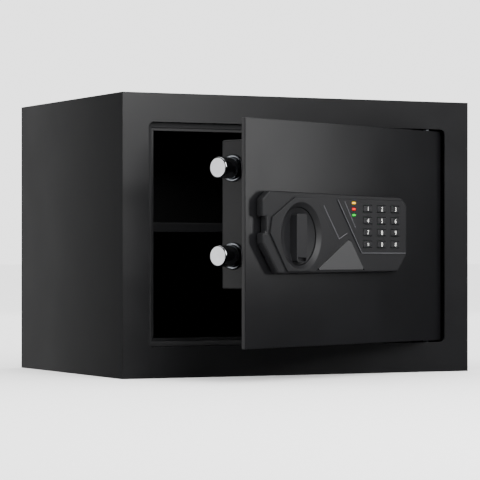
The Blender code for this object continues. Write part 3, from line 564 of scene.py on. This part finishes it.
def surface(name: str, points: np.ndarray, cap: Cap = Cap.ENDS) -> Mesh:
    """Make a closed mesh from a grid: each face joins four neighbours in the grid.

    Args:
        name: The mesh's name.
        points: Rings of points in millimetres, as ring, point, coordinate.
        cap: How the ends are closed.

    Returns:
        The mesh in metres, its doubles merged and its faces looking out.
    """
    rings, count = points.shape[:2]
    index = np.arange(rings * count).reshape(rings, count)
    index = np.hstack([index, index[:, :1]])
    if cap is Cap.RING:
        index = np.vstack([index, index[:1]])
    corners = [index[:-1, :-1], index[:-1, 1:], index[1:, 1:], index[1:, :-1]]
    faces = np.stack(corners, axis=-1).reshape(-1, 4).tolist()
    if cap is Cap.ENDS:
        faces += [index[0, :count][::-1].tolist(), index[rings - 1, :count].tolist()]
    mesh = bpy.data.meshes.new(name)
    mesh.from_pydata(points.reshape(-1, 3) * MM, [], faces)
    return tidy(mesh)


def tidy(mesh: Mesh, flat: float = 0.0) -> Mesh:
    """Merge a mesh's doubles, join faces that lie in one plane, and face it outward.

    Args:
        mesh: The mesh to clean.
        flat: The angle in degrees under which neighbouring faces are one plane.

    Returns:
        The same mesh.
    """
    bm = bmesh.new()
    bm.from_mesh(mesh)
    bmesh.ops.remove_doubles(bm, verts=bm.verts, dist=MERGE)
    if flat:
        bmesh.ops.dissolve_limit(
            bm, angle_limit=math.radians(flat), verts=bm.verts, edges=bm.edges
        )
    else:
        bmesh.ops.recalc_face_normals(bm, faces=bm.faces)
    bm.to_mesh(mesh)
    bm.free()
    return mesh


def turned(
    name: str, profile: Pairs, at: Place, facing: Facing, steps: int = 64, cap: Cap = Cap.ENDS
) -> Mesh:
    """Turn a profile about an axis: each ring is a circle of the profile's radius.

    Args:
        name: The mesh's name.
        profile: Radius and distance along the axis, in millimetres.
        at: Where the axis starts, with the door shut.
        facing: The direction of the axis.
        steps: Points in each ring.
        cap: Whether the profile is closed, as a bush's is.

    Returns:
        The closed mesh on the door at rest.
    """
    axis, across, up = (np.array(v, float) for v in facing.value)
    radius, along = np.array(profile, float).T
    angle = around(steps)
    circle = np.cos(angle)[:, None] * across + np.sin(angle)[:, None] * up
    points = np.array(at) + radius[:, None, None] * circle + along[:, None, None] * axis
    return surface(name, DOOR.swing(points), cap)


def rounded(corners: np.ndarray, radius: np.ndarray, inset: float, steps: int = 5) -> Ring:
    """Draw a closed outline with rounded corners, moved inward.

    Each corner moves along its mitre, and its arc turns from one tangent point to the other about
    the arc's centre. An inward move shortens the radius of a convex corner and lengthens that of a
    concave one.

    Args:
        corners: Corner points, either way round.
        radius: One radius for each corner.
        inset: How far the outline moves inward.
        steps: Segments in each arc.

    Returns:
        The outline's points.
    """
    following = np.roll(corners, -1, axis=0)
    ahead = following - corners
    area = np.sum(corners[:, 0] * following[:, 1] - corners[:, 1] * following[:, 0])
    ahead /= np.linalg.norm(ahead, axis=1)[:, None]
    behind = np.roll(ahead, 1, axis=0)
    way = math.copysign(1.0, area)
    inward = way * np.stack([-ahead[:, 1], ahead[:, 0]], axis=1)
    before = np.roll(inward, 1, axis=0)
    half = 1.0 + np.sum(inward * before, axis=1)[:, None]
    moved = corners + inset * (inward + before) / half
    turn = way * (behind[:, 0] * ahead[:, 1] - behind[:, 1] * ahead[:, 0])
    curve = np.maximum(radius - np.sign(turn) * inset, 0.05)
    cosine = np.clip(np.sum(behind * ahead, axis=1), -1.0, 1.0)
    bend = np.arccos(cosine)
    reach = curve * np.tan(bend / 2.0)
    centre = moved + (np.sign(turn) * curve)[:, None] * inward + reach[:, None] * ahead
    start = moved - reach[:, None] * behind - centre
    end = moved + reach[:, None] * ahead - centre
    t = np.linspace(0.0, 1.0, steps + 1)[None, :, None]
    sweep = np.maximum(bend, 1e-6)[:, None, None]
    arc = np.sin((1 - t) * sweep) * start[:, None] + np.sin(t * sweep) * end[:, None]
    return (centre[:, None] + arc / np.sin(sweep)).reshape(-1, 2)


def around(steps: int) -> np.ndarray:
    """Return even angles once round a circle."""
    return np.linspace(0.0, 2.0 * math.pi, steps, endpoint=False)


def oblong(x: float, z: float, wide: float, high: float) -> Pairs:
    """Return the four corners of an upright oblong about its middle."""
    w, h = wide / 2.0, high / 2.0
    return [(x - w, z - h), (x + w, z - h), (x + w, z + h), (x - w, z + h)]


def plate(name: str, corners: Pairs, radius: float | list[float], section: Pairs) -> Mesh:
    """Stack one outline at several depths: ring by ring, the outline moves inward and forward.

    Args:
        name: The mesh's name.
        corners: The outline's corners as x and z in millimetres.
        radius: The corner radius, or one for each corner.
        section: Inset and depth of each ring, from the back to the front.

    Returns:
        The closed mesh on the door at rest.
    """
    outline = np.array(corners, float)
    radii = np.broadcast_to(np.array(radius, float), (len(outline),))
    rings = [upright(rounded(outline, radii, inset), depth) for inset, depth in section]
    return surface(name, DOOR.swing(np.stack(rings)))


def upright(ring: Ring, depth: float) -> np.ndarray:
    """Stand a ring of x and z up at one depth."""
    return np.stack([ring[:, 0], np.full(len(ring), depth), ring[:, 1]], axis=-1)


def swept(name: str, path: np.ndarray, section: np.ndarray, out: np.ndarray) -> Mesh:
    """Carry a section along an open path: each ring lies across the path's direction.

    Args:
        name: The mesh's name.
        path: Points of the path in millimetres.
        section: Points of the section, as the distance outward and the distance across.
        out: The outward direction at each point of the path.

    Returns:
        The closed mesh.
    """
    along = np.gradient(path, axis=0)
    along /= np.linalg.norm(along, axis=1)[:, None]
    across = np.cross(along, out)
    across /= np.linalg.norm(across, axis=1)[:, None]
    outward = np.cross(across, along)
    rise = section[None, :, :1] * outward[:, None]
    points = path[:, None] + rise + section[None, :, 1:] * across[:, None]
    return surface(name, points)


def move_vertices(mesh: Mesh, points: np.ndarray) -> None:
    """Move a mesh's vertices to points given in millimetres with the door shut."""
    mesh.vertices.foreach_set("co", (DOOR.swing(points) * MM).ravel().astype(np.float32))


# ---------- pieces


@dataclass
class SubAssembly:
    """What every sub-assembly shares: it puts pieces on bodies and carries CAD nodes over."""

    def fit(
        self, mesh: Mesh, finish: Finish, body: str, slot: str,
        stands_for: tuple[str, ...] = (), edge: float = 0.0, second: Finish | None = None,
    ) -> bpy.types.Object:
        """Make a piece from a mesh, finish its edges and let it ride on a body.

        Args:
            mesh: The piece's mesh, in place.
            finish: The finish of its first material slot.
            body: The body that it rides on.
            slot: The record's material slot; not used.
            stands_for: The CAD nodes that it replaces.
            edge: Width of the rolled edges in millimetres, or none.
            second: The finish of a second material slot.

        Returns:
            The piece.
        """
        for coat in (finish, second):
            if coat:
                mesh.materials.append(coat.material())
        mesh.shade_smooth()
        mesh.set_sharp_from_angle(angle=math.radians(CREASE))
        piece = bpy.data.objects.new(mesh.name, mesh)
        bpy.context.scene.collection.objects.link(piece)
        if edge:
            bevel = piece.modifiers.new("rolled_edges", "BEVEL")
            bevel.width = edge * MM
            bevel.segments = 2
            bevel.limit_method = "ANGLE"
            bevel.angle_limit = math.radians(CREASE)
        normals = piece.modifiers.new("face_normals", "WEIGHTED_NORMAL")
        normals.keep_sharp = True
        normals.weight = 100
        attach(piece, body)
        if stands_for:
            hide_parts(*stands_for)
        log.info("%s rides on %s: %d faces", piece.name, body, len(mesh.polygons))
        return piece

    def carry(self, node: str, finish: Finish, slot: str, edge: float) -> bpy.types.Object:
        """Stand a merged copy of a CAD node, with its edges rolled, in the node's place.

        Args:
            node: The CAD node.
            finish: Its finish.
            slot: The record's material slot.
            edge: Width of the rolled edges in millimetres.

        Returns:
            The piece.
        """
        source = frame["nodes"][node]
        mesh = source.data.copy()
        mesh.name = f"{node}_finished"
        mesh.materials.clear()
        tidy(mesh, flat=1.0)
        return self.fit(mesh, finish, source["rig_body"], slot, (node,), edge)


@dataclass
class Cabinet(SubAssembly):
    """The bent shell, its back, the jamb with its seal, the felt mat and the hinge plates."""

    seal_out: float = 0.75
    seal_half: float = 2.4
    seal_bend: float = 3.0
    seal_left: float = -147.6
    seal_low: float = 29.9
    seal_high: float = 222.1
    seal_right: float = 114.0
    seal_depth: float = -119.55

    def build(self) -> None:
        """Dress the cabinet."""
        for node, edge in (("cabinet_shell", 0.35), ("back_panel", 0.4), ("opening_frame", 0.3)):
            self.carry(node, CABINET_COAT, "body_powder_coat", edge)
        self.carry("floor_mat", FELT, "mat_felt", 0.7)
        for level in ("upper", "lower"):
            self.carry(f"{level}_hinge_plate", ZINC, "zinc_steel", 0.3)
            self.carry(f"{level}_hinge_bush", BRASS, "brass", 0.2)
        for side in ("left", "right"):
            self.carry(f"shelf_bracket_{side}", CABINET_COAT, "body_powder_coat", 0.3)
        self.seal()

    def seal(self) -> None:
        """Run a strip of foam with a rounded face along the three sides of the stop lip."""
        corners = np.array([
            (self.seal_right, self.seal_low), (self.seal_left, self.seal_low),
            (self.seal_left, self.seal_high), (self.seal_right, self.seal_high),
        ])
        bends = rounded(corners, np.array([0.05, self.seal_bend, self.seal_bend, 0.05]), 0.0, 6)
        spread = [np.linspace(a, b, 4)[:-1] for a, b in zip(bends[:-1], bends[1:])]
        ring = np.vstack([*spread, bends[-1:]])
        ring = ring[np.r_[True, np.linalg.norm(np.diff(ring, axis=0), axis=1) > 0.02]]
        path = upright(ring, self.seal_depth)
        angle = around(16)
        # a rounded oblong: the sine and cosine to the power 0.6 make its shoulders full
        wide = np.sign(np.cos(angle)) * np.abs(np.cos(angle)) ** 0.6
        thick = np.sign(np.sin(angle)) * np.abs(np.sin(angle)) ** 0.6
        section = np.stack([self.seal_out * thick, self.seal_half * wide], axis=1)
        out = np.tile(FORWARD, (len(path), 1))
        mesh = swept("foam_door_seal", path, section, out)
        self.fit(mesh, FOAM, "cabinet", "seal_foam", ("door_seal",))


@dataclass
class Shelf(SubAssembly):
    """The folded lift-out shelf."""

    def build(self) -> None:
        """Dress the shelf."""
        self.carry("shelf", CABINET_COAT, "body_powder_coat", 0.45)


@dataclass
class DoorLeaf(SubAssembly):
    """The thick door plate, its hinge pivots, the inner cover and its screws."""

    screws: int = 4

    def build(self) -> None:
        """Dress the door."""
        self.carry("door_plate", DOOR_COAT, "door_powder_coat", 0.5)
        self.carry("inner_cover", LINER_COAT, "body_powder_coat", 0.4)
        for level in ("upper", "lower"):
            self.carry(f"{level}_hinge_pivot", ZINC_DOOR, "zinc_steel", 0.3)
        for number in range(1, self.screws + 1):
            self.carry(f"cover_screw_{number}", ZINC_DOOR, "zinc_steel", 0.15)


@dataclass
class Boltwork(SubAssembly):
    """The two chromed bolts in their bushes, and the carriage and crank that move them."""

    bolt: float = 9.0
    roll: float = 1.2
    tip: float = -159.0
    end: float = -120.3
    bush_face: float = -138.3
    depth: float = -104.5
    heights: tuple[tuple[str, float], ...] = (("lower", 107.0), ("upper", 181.0))

    def build(self) -> None:
        """Dress the boltwork."""
        for level, height in self.heights:
            self.live_bolt(level, height)
            self.bush(level, height)
        self.carry("bolt_carriage", ZINC_DOOR, "zinc_steel", 0.3)
        self.carry("crank", ZINC_DOOR, "zinc_steel", 0.25)

    def live_bolt(self, level: str, height: float) -> None:
        """Turn a bolt with a rolled edge on its tip.

        Args:
            level: Which bolt.
            height: Its axis above the ground.
        """
        long, roll = self.tip - self.end, self.roll
        edge = [
            (self.bolt - roll + roll * math.sin(angle), -roll + roll * math.cos(angle))
            for angle in np.linspace(0.0, math.pi / 2.0, 6)
        ]
        profile = [(0.0, 0.0), (self.bolt - 2.6, 0.0), *edge, (self.bolt, long), (0.0, long)]
        at = (self.tip, self.depth, height)
        mesh = turned(f"{level}_live_bolt", profile, at, Facing.LEFT, 72)
        self.fit(mesh, CHROME, "boltwork", "chrome", (f"{level}_bolt",))

    def bush(self, level: str, height: float) -> None:
        """Turn a flanged bush with a soft lip.

        Args:
            level: Which bolt it guides.
            height: Its axis above the ground.
        """
        profile = [
            (10.4, 1.4), (11.0, 1.35), (11.4, 1.1), (11.5, 0.7), (11.5, 0.0), (10.0, 0.0),
            (10.0, -5.0), (9.3, -5.0), (9.3, 1.0), (9.5, 1.3), (9.8, 1.4),
        ]
        at = (self.bush_face, self.depth, height)
        mesh = turned(f"{level}_flanged_bush", profile, at, Facing.LEFT, cap=Cap.RING)
        self.fit(mesh, ZINC_DOOR, "door", "zinc_steel", (f"{level}_bolt_bush",))


@dataclass
class LockPanel(SubAssembly):
    """The moulded panel, the many-sided surround with its dish, the key cover and the board."""

    knob_x: float = -81.8
    knob_z: float = 124.0
    dish: float = 28.5
    dish_floor: float = 25.0
    dish_depth: float = 3.0
    panel_back: float = -125.3
    panel_front: float = -133.0
    keypad_front: float = -133.8
    surround_front: float = -134.6
    surround_bend: float = 1.2
    line_rise: float = 0.35
    line_half: float = 0.45
    surround: tuple[tuple[float, float], ...] = (
        (-91.0, 157.0), (-122.5, 140.0), (-125.5, 126.3), (-101.5, 94.0), (-69.0, 94.0),
        (-28.0, 116.0), (-63.5, 157.0),
    )
    key_cover: tuple[tuple[float, float], ...] = (
        (-60.0, 94.5), (13.5, 94.8), (-6.7, 120.0), (-11.5, 121.6),
    )

    def build(self) -> None:
        """Dress the lock panel."""
        self.carry("panel_housing", PANEL_ABS, "black_moulding", 0.3)
        self.carry("circuit_board", BOARD, "board_green", 0.15)
        self.dished_surround()
        self.three_sided_cover()
        self.raised_lines()

    def dished_surround(self) -> None:
        """Run rings from the surround's outline over its face and down the dish to the collar.

        The first rings are the outline, moved in and forward over its bevel. The next are circles
        about the knob, at the angles at which the outline's points are seen from there.
        """
        outline = np.array(self.surround)
        radii = np.full(len(outline), self.surround_bend)
        back = self.panel_front - 0.3
        front = self.surround_front
        bevel = [(0.0, back), (0.0, front + 0.45), (0.12, front + 0.15), (0.45, front)]
        rings = [rounded(outline, radii, inset, 3) for inset, _ in bevel]
        share = self.shares(rings[0], 240)
        rings = [self.fill(ring, share) for ring in rings]
        centre = np.array([self.knob_x, self.knob_z])
        ray = rings[-1] - centre
        ray /= np.linalg.norm(ray, axis=1)[:, None]
        floor = front + self.dish_depth
        collar = self.panel_back - 0.3
        rim, low = self.dish, self.dish_floor
        circles = [
            (rim + 1.0, front), (rim + 0.5, front + 0.08), (rim + 0.1, front + 0.3),
            (rim - 0.3, front + 0.65), (low + 0.2, floor - 0.15), (low, floor), (low, collar),
            (rim - 0.5, collar), (rim - 0.5, back),
        ]
        stack = [upright(ring, depth) for ring, (_, depth) in zip(rings, bevel)]
        stack += [upright(centre + ray * radius, depth) for radius, depth in circles]
        mesh = surface("dished_knob_surround", DOOR.swing(np.stack(stack)), Cap.RING)
        self.fit(mesh, PANEL_ABS, "door", "black_moulding", ("knob_surround",))

    @staticmethod
    def shares(ring: Ring, count: int) -> np.ndarray:
        """Spread extra places along a ring's long edges, and keep its own points.

        Args:
            ring: The ring's points.
            count: How many places to spread evenly by length.

        Returns:
            Places counted in points from the first, with fractions between them.
        """
        closed = np.vstack([ring, ring[:1]])
        length = np.r_[0.0, np.cumsum(np.linalg.norm(np.diff(closed, axis=0), axis=1))]
        even = np.linspace(0.0, length[-1], count, endpoint=False)
        places = np.interp(even, length, np.arange(len(length)))
        whole = np.arange(len(ring), dtype=float)
        far = np.abs(places - np.round(places)) > 0.01
        return np.sort(np.r_[whole, places[far]])

    @staticmethod
    def fill(ring: Ring, share: np.ndarray) -> Ring:
        """Take a ring's points at the given places along it.

        Args:
            ring: The ring's points.
            share: Places counted in points from the first.

        Returns:
            The points at those places.
        """
        closed = np.vstack([ring, ring[:1]])
        whole = np.arange(len(closed))
        return np.stack([np.interp(share, whole, closed[:, k]) for k in (0, 1)], axis=1)

    def three_sided_cover(self) -> None:
        """Make the flat cover, with soft corners and a rolled edge."""
        section = [(0.4, -131.9), (0.4, -133.1), (0.52, -133.38), (0.85, -133.5)]
        radii = [1.6, 1.6, 1.2, 1.2]
        mesh = plate("three_sided_key_cover", list(self.key_cover), radii, section)
        self.fit(mesh, COVER_ABS, "emergency_cover", "cover_grey", ("key_cover",))

    def raised_lines(self) -> None:
        """Run thin raised lines over the slope between the surround and the keypad field, coloured
        lighter than the panel as a painted highlight.
        """
        routes = {
            "long": [(-48.0, 151.0), (-25.0, 122.0), (-13.2, 127.0)],
            "short": [(-17.9, 155.0), (-1.5, 132.0)],
            "field": [(-28.0, 156.2), (8.2, 109.7), (76.6, 109.7)],
        }
        angle = around(10)
        size = np.array([self.line_rise, self.line_half])
        section = size * np.stack([np.sin(angle), np.cos(angle)], axis=1)
        for name, route in routes.items():
            corner = np.array(route)
            steps = [np.linspace(a, b, 12) for a, b in zip(corner[:-1], corner[1:])]
            line = np.vstack([steps[0], *[step[1:] for step in steps[1:]]])
            path = upright(line, self.panel_front if name == "long" else self.keypad_front)
            out = np.tile(FORWARD, (len(path), 1))
            mesh = swept(f"{name}_raised_line", path, section, out)
            move_vertices(mesh, np.array([vertex.co for vertex in mesh.vertices]) / MM)
            # the lighter ridge colour is a painted highlight, not a different material
            self.fit(mesh, RIDGE_ABS_PAINTED_HIGHLIGHT, "door", "black_moulding")


@dataclass
class Knob(SubAssembly):
    """The knob floor with its grip bar, and the spindle behind it."""

    def build(self) -> None:
        """Dress the knob."""
        self.carry("knob", KNOB_ABS, "black_moulding", 0.35)
        self.carry("knob_spindle", ZINC_DOOR, "zinc_steel", 0.2)


@dataclass
class Keypad(SubAssembly):
    """Twelve keys with printed legends, and three lamps."""

    columns: tuple[float, ...] = (16.8, 38.3, 59.8)
    rows: tuple[float, ...] = (148.9, 138.4, 127.9, 117.4)
    names: tuple[str, ...] = ("1", "2", "3", "4", "5", "6", "7", "8", "9", "star", "0", "hash")
    signs: tuple[tuple[str, str], ...] = (("star", "*"), ("hash", "#"))
    wide: float = 13.0
    high: float = 6.0
    front: float = -134.6
    back: float = -130.0
    legend: float = 4.0
    cap_height: float = 0.73  # of a digit in the plain face, for a size of one
    star_growth: float = 1.25
    bolder: float = -0.012  # how far each stroke's edge moves, for a size of one
    proud: float = 0.03
    lamp_x: float = -4.0
    lamp_wide: float = 5.2
    lamp_high: float = 2.2
    lamps: tuple[tuple[str, float], ...] = (("yellow", 153.7), ("red", 148.3), ("green", 143.0))

    def build(self) -> None:
        """Make the keys and the lamps."""
        for number, name in enumerate(self.names):
            row, column = divmod(number, len(self.columns))
            self.key(name, self.columns[column], self.rows[row])
        for (colour, height), lens in zip(self.lamps, (YELLOW_LENS, RED_LENS, GREEN_LENS)):
            self.lamp(colour, height, lens)

    def key(self, name: str, x: float, z: float) -> None:
        """Make one key: an oblong with a rolled edge, and its legend in a second finish.

        Args:
            name: The key's name.
            x: Its middle from left to right, with the door shut.
            z: Its middle above the ground.
        """
        corners = oblong(x, z, self.wide, self.high)
        section = [
            (0.0, self.back), (0.0, self.front + 0.9), (0.2, self.front + 0.35),
            (0.6, self.front + 0.08), (1.1, self.front),
        ]
        mesh = plate(f"key_{name}_cap", corners, 1.2, section)
        self.print_legend(mesh, dict(self.signs).get(name, name), x, z)
        node = f"key_{name}"
        self.fit(mesh, KEY_ABS, f"press_{node}", "key_grey", (node,), second=LEGEND_INK)

    def print_legend(self, mesh: Mesh, sign: str, x: float, z: float) -> None:
        """Set one sign in a plain face and join it to the key's mesh as its second material.

        Args:
            mesh: The key's mesh.
            sign: The sign.
            x: The key's middle from left to right, with the door shut.
            z: The key's middle above the ground.
        """
        curve = bpy.data.curves.new(f"sign_{mesh.name}", "FONT")
        curve.body = sign
        curve.align_x, curve.align_y = "CENTER", "CENTER"
        curve.size, curve.extrude, curve.offset = 1.0, 0.01, self.bolder
        curve.resolution_u = 4
        holder = bpy.data.objects.new(f"sign_{mesh.name}", curve)
        flat = bpy.data.meshes.new_from_object(holder)
        co = np.zeros(len(flat.vertices) * 3, np.float32)
        flat.vertices.foreach_get("co", co)
        co = co.reshape(-1, 3)
        low, high = co.min(axis=0), co.max(axis=0)
        scale = self.legend / self.cap_height
        if sign == "*":
            scale *= self.star_growth
        local = (co - (low + high) / 2.0) * scale
        depth = self.front - self.proud - local[:, 2] * 0.5
        move_vertices(flat, np.stack([x + local[:, 0], depth, z + local[:, 1]], axis=-1))
        bm = bmesh.new()
        bm.from_mesh(mesh)
        own = len(bm.faces)
        bm.from_mesh(tidy(flat))
        bm.faces.ensure_lookup_table()
        for face in bm.faces[own:]:  # the sign's faces come after the key's own
            face.material_index = 1
        bm.to_mesh(mesh)
        bm.free()
        bpy.data.objects.remove(holder)
        bpy.data.meshes.remove(flat)

    def lamp(self, colour: str, z: float, lens: LampLens) -> None:
        """Make one domed lens with round ends.

        Args:
            colour: The lamp's name.
            z: Its middle above the ground.
            lens: Its finish.
        """
        corners = oblong(self.lamp_x, z, self.lamp_wide, self.lamp_high)
        section = [(0.0, -128.5), (0.0, -133.9), (0.1, -134.1), (0.4, -134.27), (0.8, -134.3)]
        mesh = plate(f"{colour}_lamp_lens", corners, 1.0, section)
        self.fit(mesh, lens, "door", f"lamp_{colour}", (f"{colour}_lamp",))


@dataclass
class EmergencyLock(SubAssembly):
    """The key lock behind the cover, and the solenoid with its plunger and spring."""

    solenoid_x: float = -48.5
    solenoid_y: float = -106.0
    spring_low: float = 106.65
    spring_high: float = 108.65
    spring_radius: float = 3.9
    wire: float = 0.35
    turns: float = 2.0

    def build(self) -> None:
        """Dress the emergency lock and the solenoid."""
        self.carry("lock_barrel", ZINC_DOOR, "zinc_steel", 0.2)
        self.carry("lock_plug", BRASS, "brass", 0.15)
        self.carry("lock_cam", ZINC_DOOR, "zinc_steel", 0.25)
        self.carry("solenoid", COIL_STEEL, "solenoid_grey", 0.4)
        self.carry("solenoid_plunger", ZINC_DOOR, "zinc_steel", 0.25)
        self.return_spring()

    def return_spring(self) -> None:
        """Carry a round wire along a helix: equal turns and equal rise."""
        t = np.linspace(0.0, 1.0, 97)
        angle = 2.0 * math.pi * self.turns * t
        out = np.stack([np.cos(angle), np.sin(angle), np.zeros_like(t)], axis=1)
        path = np.array([self.solenoid_x, self.solenoid_y, 0.0]) + self.spring_radius * out
        path[:, 2] = self.spring_low + (self.spring_high - self.spring_low) * t
        round_wire = around(10)
        section = self.wire * np.stack([np.cos(round_wire), np.sin(round_wire)], axis=1)
        cos, sin = math.cos(DOOR.angle), math.sin(DOOR.angle)
        outward = out @ np.array([[cos, sin, 0.0], [-sin, cos, 0.0], [0.0, 0.0, 1.0]])
        mesh = swept("plunger_return_spring", DOOR.swing(path), section, outward)
        self.fit(mesh, ZINC_DOOR, "door", "zinc_steel", ("plunger_spring",))


@dataclass
class BatteryBox(SubAssembly):
    """The tray with four cells under its sliding lid, and the reset button beside it."""

    cell: float = 7.25
    cell_long: float = 50.5
    cell_depth: float = -103.8
    cell_low: float = 103.75
    cells: int = 4
    middle: float = 63.0
    pitch: float = 16.5
    button: Place = (15.0, -96.0, 185.0)

    def build(self) -> None:
        """Dress the battery box."""
        for node in ("battery_tray", "battery_lid"):
            self.carry(node, PANEL_ABS, "black_moulding", 0.3)
        for number in range(self.cells):
            place = number - (self.cells - 1) / 2.0
            self.dry_cell(number + 1, self.middle + place * self.pitch)
        self.code_button()

    def dry_cell(self, number: int, x: float) -> None:
        """Turn one cell: a can with rolled ends and a contact nub.

        Args:
            number: The cell's number.
            x: Its axis from left to right, with the door shut.
        """
        top = self.cell_long - 1.2
        profile = [
            (0.0, 0.0), (self.cell - 1.0, 0.0), (self.cell - 0.3, 0.2), (self.cell, 0.8),
            (self.cell, top - 0.8), (self.cell - 0.3, top - 0.2), (self.cell - 1.0, top),
            (3.0, top - 0.1), (2.7, top + 0.2), (2.7, top + 1.0), (2.4, top + 1.2),
            (0.0, top + 1.2),
        ]
        at = (x, self.cell_depth, self.cell_low)
        mesh = turned(f"dry_cell_{number}", profile, at, Facing.UP, 40)
        self.fit(mesh, SLEEVE, "door", "cell_wrap", (f"battery_cell_{number}",))

    def code_button(self) -> None:
        """Turn the button that sets a new code, with a slightly domed face."""
        profile = [
            (0.0, 0.0), (5.5, 0.0), (5.5, 1.2), (4.0, 1.2), (4.0, 5.3), (3.8, 5.8), (3.2, 6.05),
            (1.8, 6.15), (0.0, 6.2),
        ]
        mesh = turned("code_reset_button", profile, self.button, Facing.BACK, 40)
        self.fit(mesh, RED_ABS, "reset", "reset_red", ("reset_button",))


# ---------- studio


@dataclass
class SoftBox:
    """One soft light panel."""

    name: str
    place: Place
    aim: Place
    size: tuple[float, float]
    power: float

    def hang(self) -> None:
        """Make the panel at its place, turned towards its aim."""
        light = bpy.data.lights.new(self.name, "AREA")
        light.shape = "RECTANGLE"
        light.size, light.size_y = self.size
        light.energy = self.power
        panel = bpy.data.objects.new(self.name, light)
        panel.location = self.place
        away = np.array(self.aim) - np.array(self.place)
        level = math.hypot(away[0], away[1])
        panel.rotation_euler = (
            math.atan2(level, -away[2]), 0.0, math.atan2(-away[0], away[1]) if level else 0.0
        )
        panel.visible_camera = False
        bpy.context.scene.collection.objects.link(panel)


@dataclass
class Studio:
    """The pale floor, the surrounding light and the camera."""

    camera_place: Place = (-0.9970, -2.0459, 0.1062)
    camera_turn: float = -25.97
    lens: float = 180.2
    sensor: float = 36.0
    shift_up: float = 0.0355
    floor_reach: float = 30.0
    ambient: float = 2.6

    def build(self) -> None:
        """Lay the floor, light the set and place the camera."""
        self.floor()
        self.surround()
        for panel in self.panels():
            panel.hang()
        self.camera()

    def panels(self) -> list[SoftBox]:
        """Return the soft panels: on the door, the front, both sides, above and behind."""
        return [
            SoftBox("door_panel", (0.50, -0.37, 0.29), (-0.12, -0.24, 0.20), (0.09, 0.36), 0.40),
            SoftBox("front_panel", (0.08, -1.25, 0.75), (0.0, -0.12, 0.12), (0.6, 0.9), 16.0),
            SoftBox("side_panel", (-0.285, 0.36, 0.17), (-0.175, 0.08, 0.12), (0.06, 0.6), 0.10),
            SoftBox("left_panel", (-1.10, 0.03, 0.20), (-0.15, -0.2, 0.14), (0.35, 0.5), 1.0),
            SoftBox("overhead_panel", (0.0, 0.1, 1.9), (0.0, 0.0, 0.0), (1.8, 1.8), 10.0),
            SoftBox("rear_panel", (0.7, 1.9, 1.0), (0.0, 0.12, 0.12), (1.2, 1.2), 5.0),
            SoftBox("right_panel", (1.9, 1.3, 0.8), (0.17, 0.0, 0.12), (1.2, 1.2), 5.0),
        ]

    def floor(self) -> None:
        """Lay one wide sheet of paper."""
        reach = self.floor_reach
        corners = np.array([(-1, -1, 0), (1, -1, 0), (1, 1, 0), (-1, 1, 0)], float) * reach
        mesh = bpy.data.meshes.new("studio_floor")
        mesh.from_pydata(corners, [], [(0, 1, 2, 3)])
        mesh.materials.append(PAPER.material())
        floor = bpy.data.objects.new("studio_floor", mesh)
        bpy.context.scene.collection.objects.link(floor)
        floor.visible_glossy = False  # black paint would show it as a bright mirror image

    def surround(self) -> None:
        """Fill the air with even light that shiny surfaces don't mirror."""
        world = bpy.data.worlds.new("studio_air")
        world.use_nodes = True
        sky = world.node_tree.nodes["Background"]
        sky.inputs["Color"].default_value = (1.0, 1.0, 1.0, 1.0)
        sky.inputs["Strength"].default_value = self.ambient
        bpy.context.scene.world = world
        world.cycles_visibility.glossy = False

    def camera(self) -> None:
        """Place the level camera."""
        eye = bpy.data.cameras.new("camera")
        eye.lens, eye.sensor_width, eye.shift_y = self.lens, self.sensor, self.shift_up
        eye.clip_end = 100.0
        camera = bpy.data.objects.new("camera", eye)
        camera.location = self.camera_place
        camera.rotation_euler = (math.radians(90.0), 0.0, math.radians(self.camera_turn))
        bpy.context.scene.collection.objects.link(camera)
        bpy.context.scene.camera = camera


def main() -> None:
    """Build the safe on its frame, then the studio around it."""
    logging.basicConfig(level=logging.INFO, format="%(message)s")
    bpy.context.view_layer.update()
    assemblies = (
        Cabinet(), Shelf(), DoorLeaf(), Boltwork(), LockPanel(), Knob(), Keypad(), EmergencyLock(),
        BatteryBox(),
    )
    for assembly in assemblies:
        assembly.build()
    Studio().build()


if __name__ == "__main__":
    main()
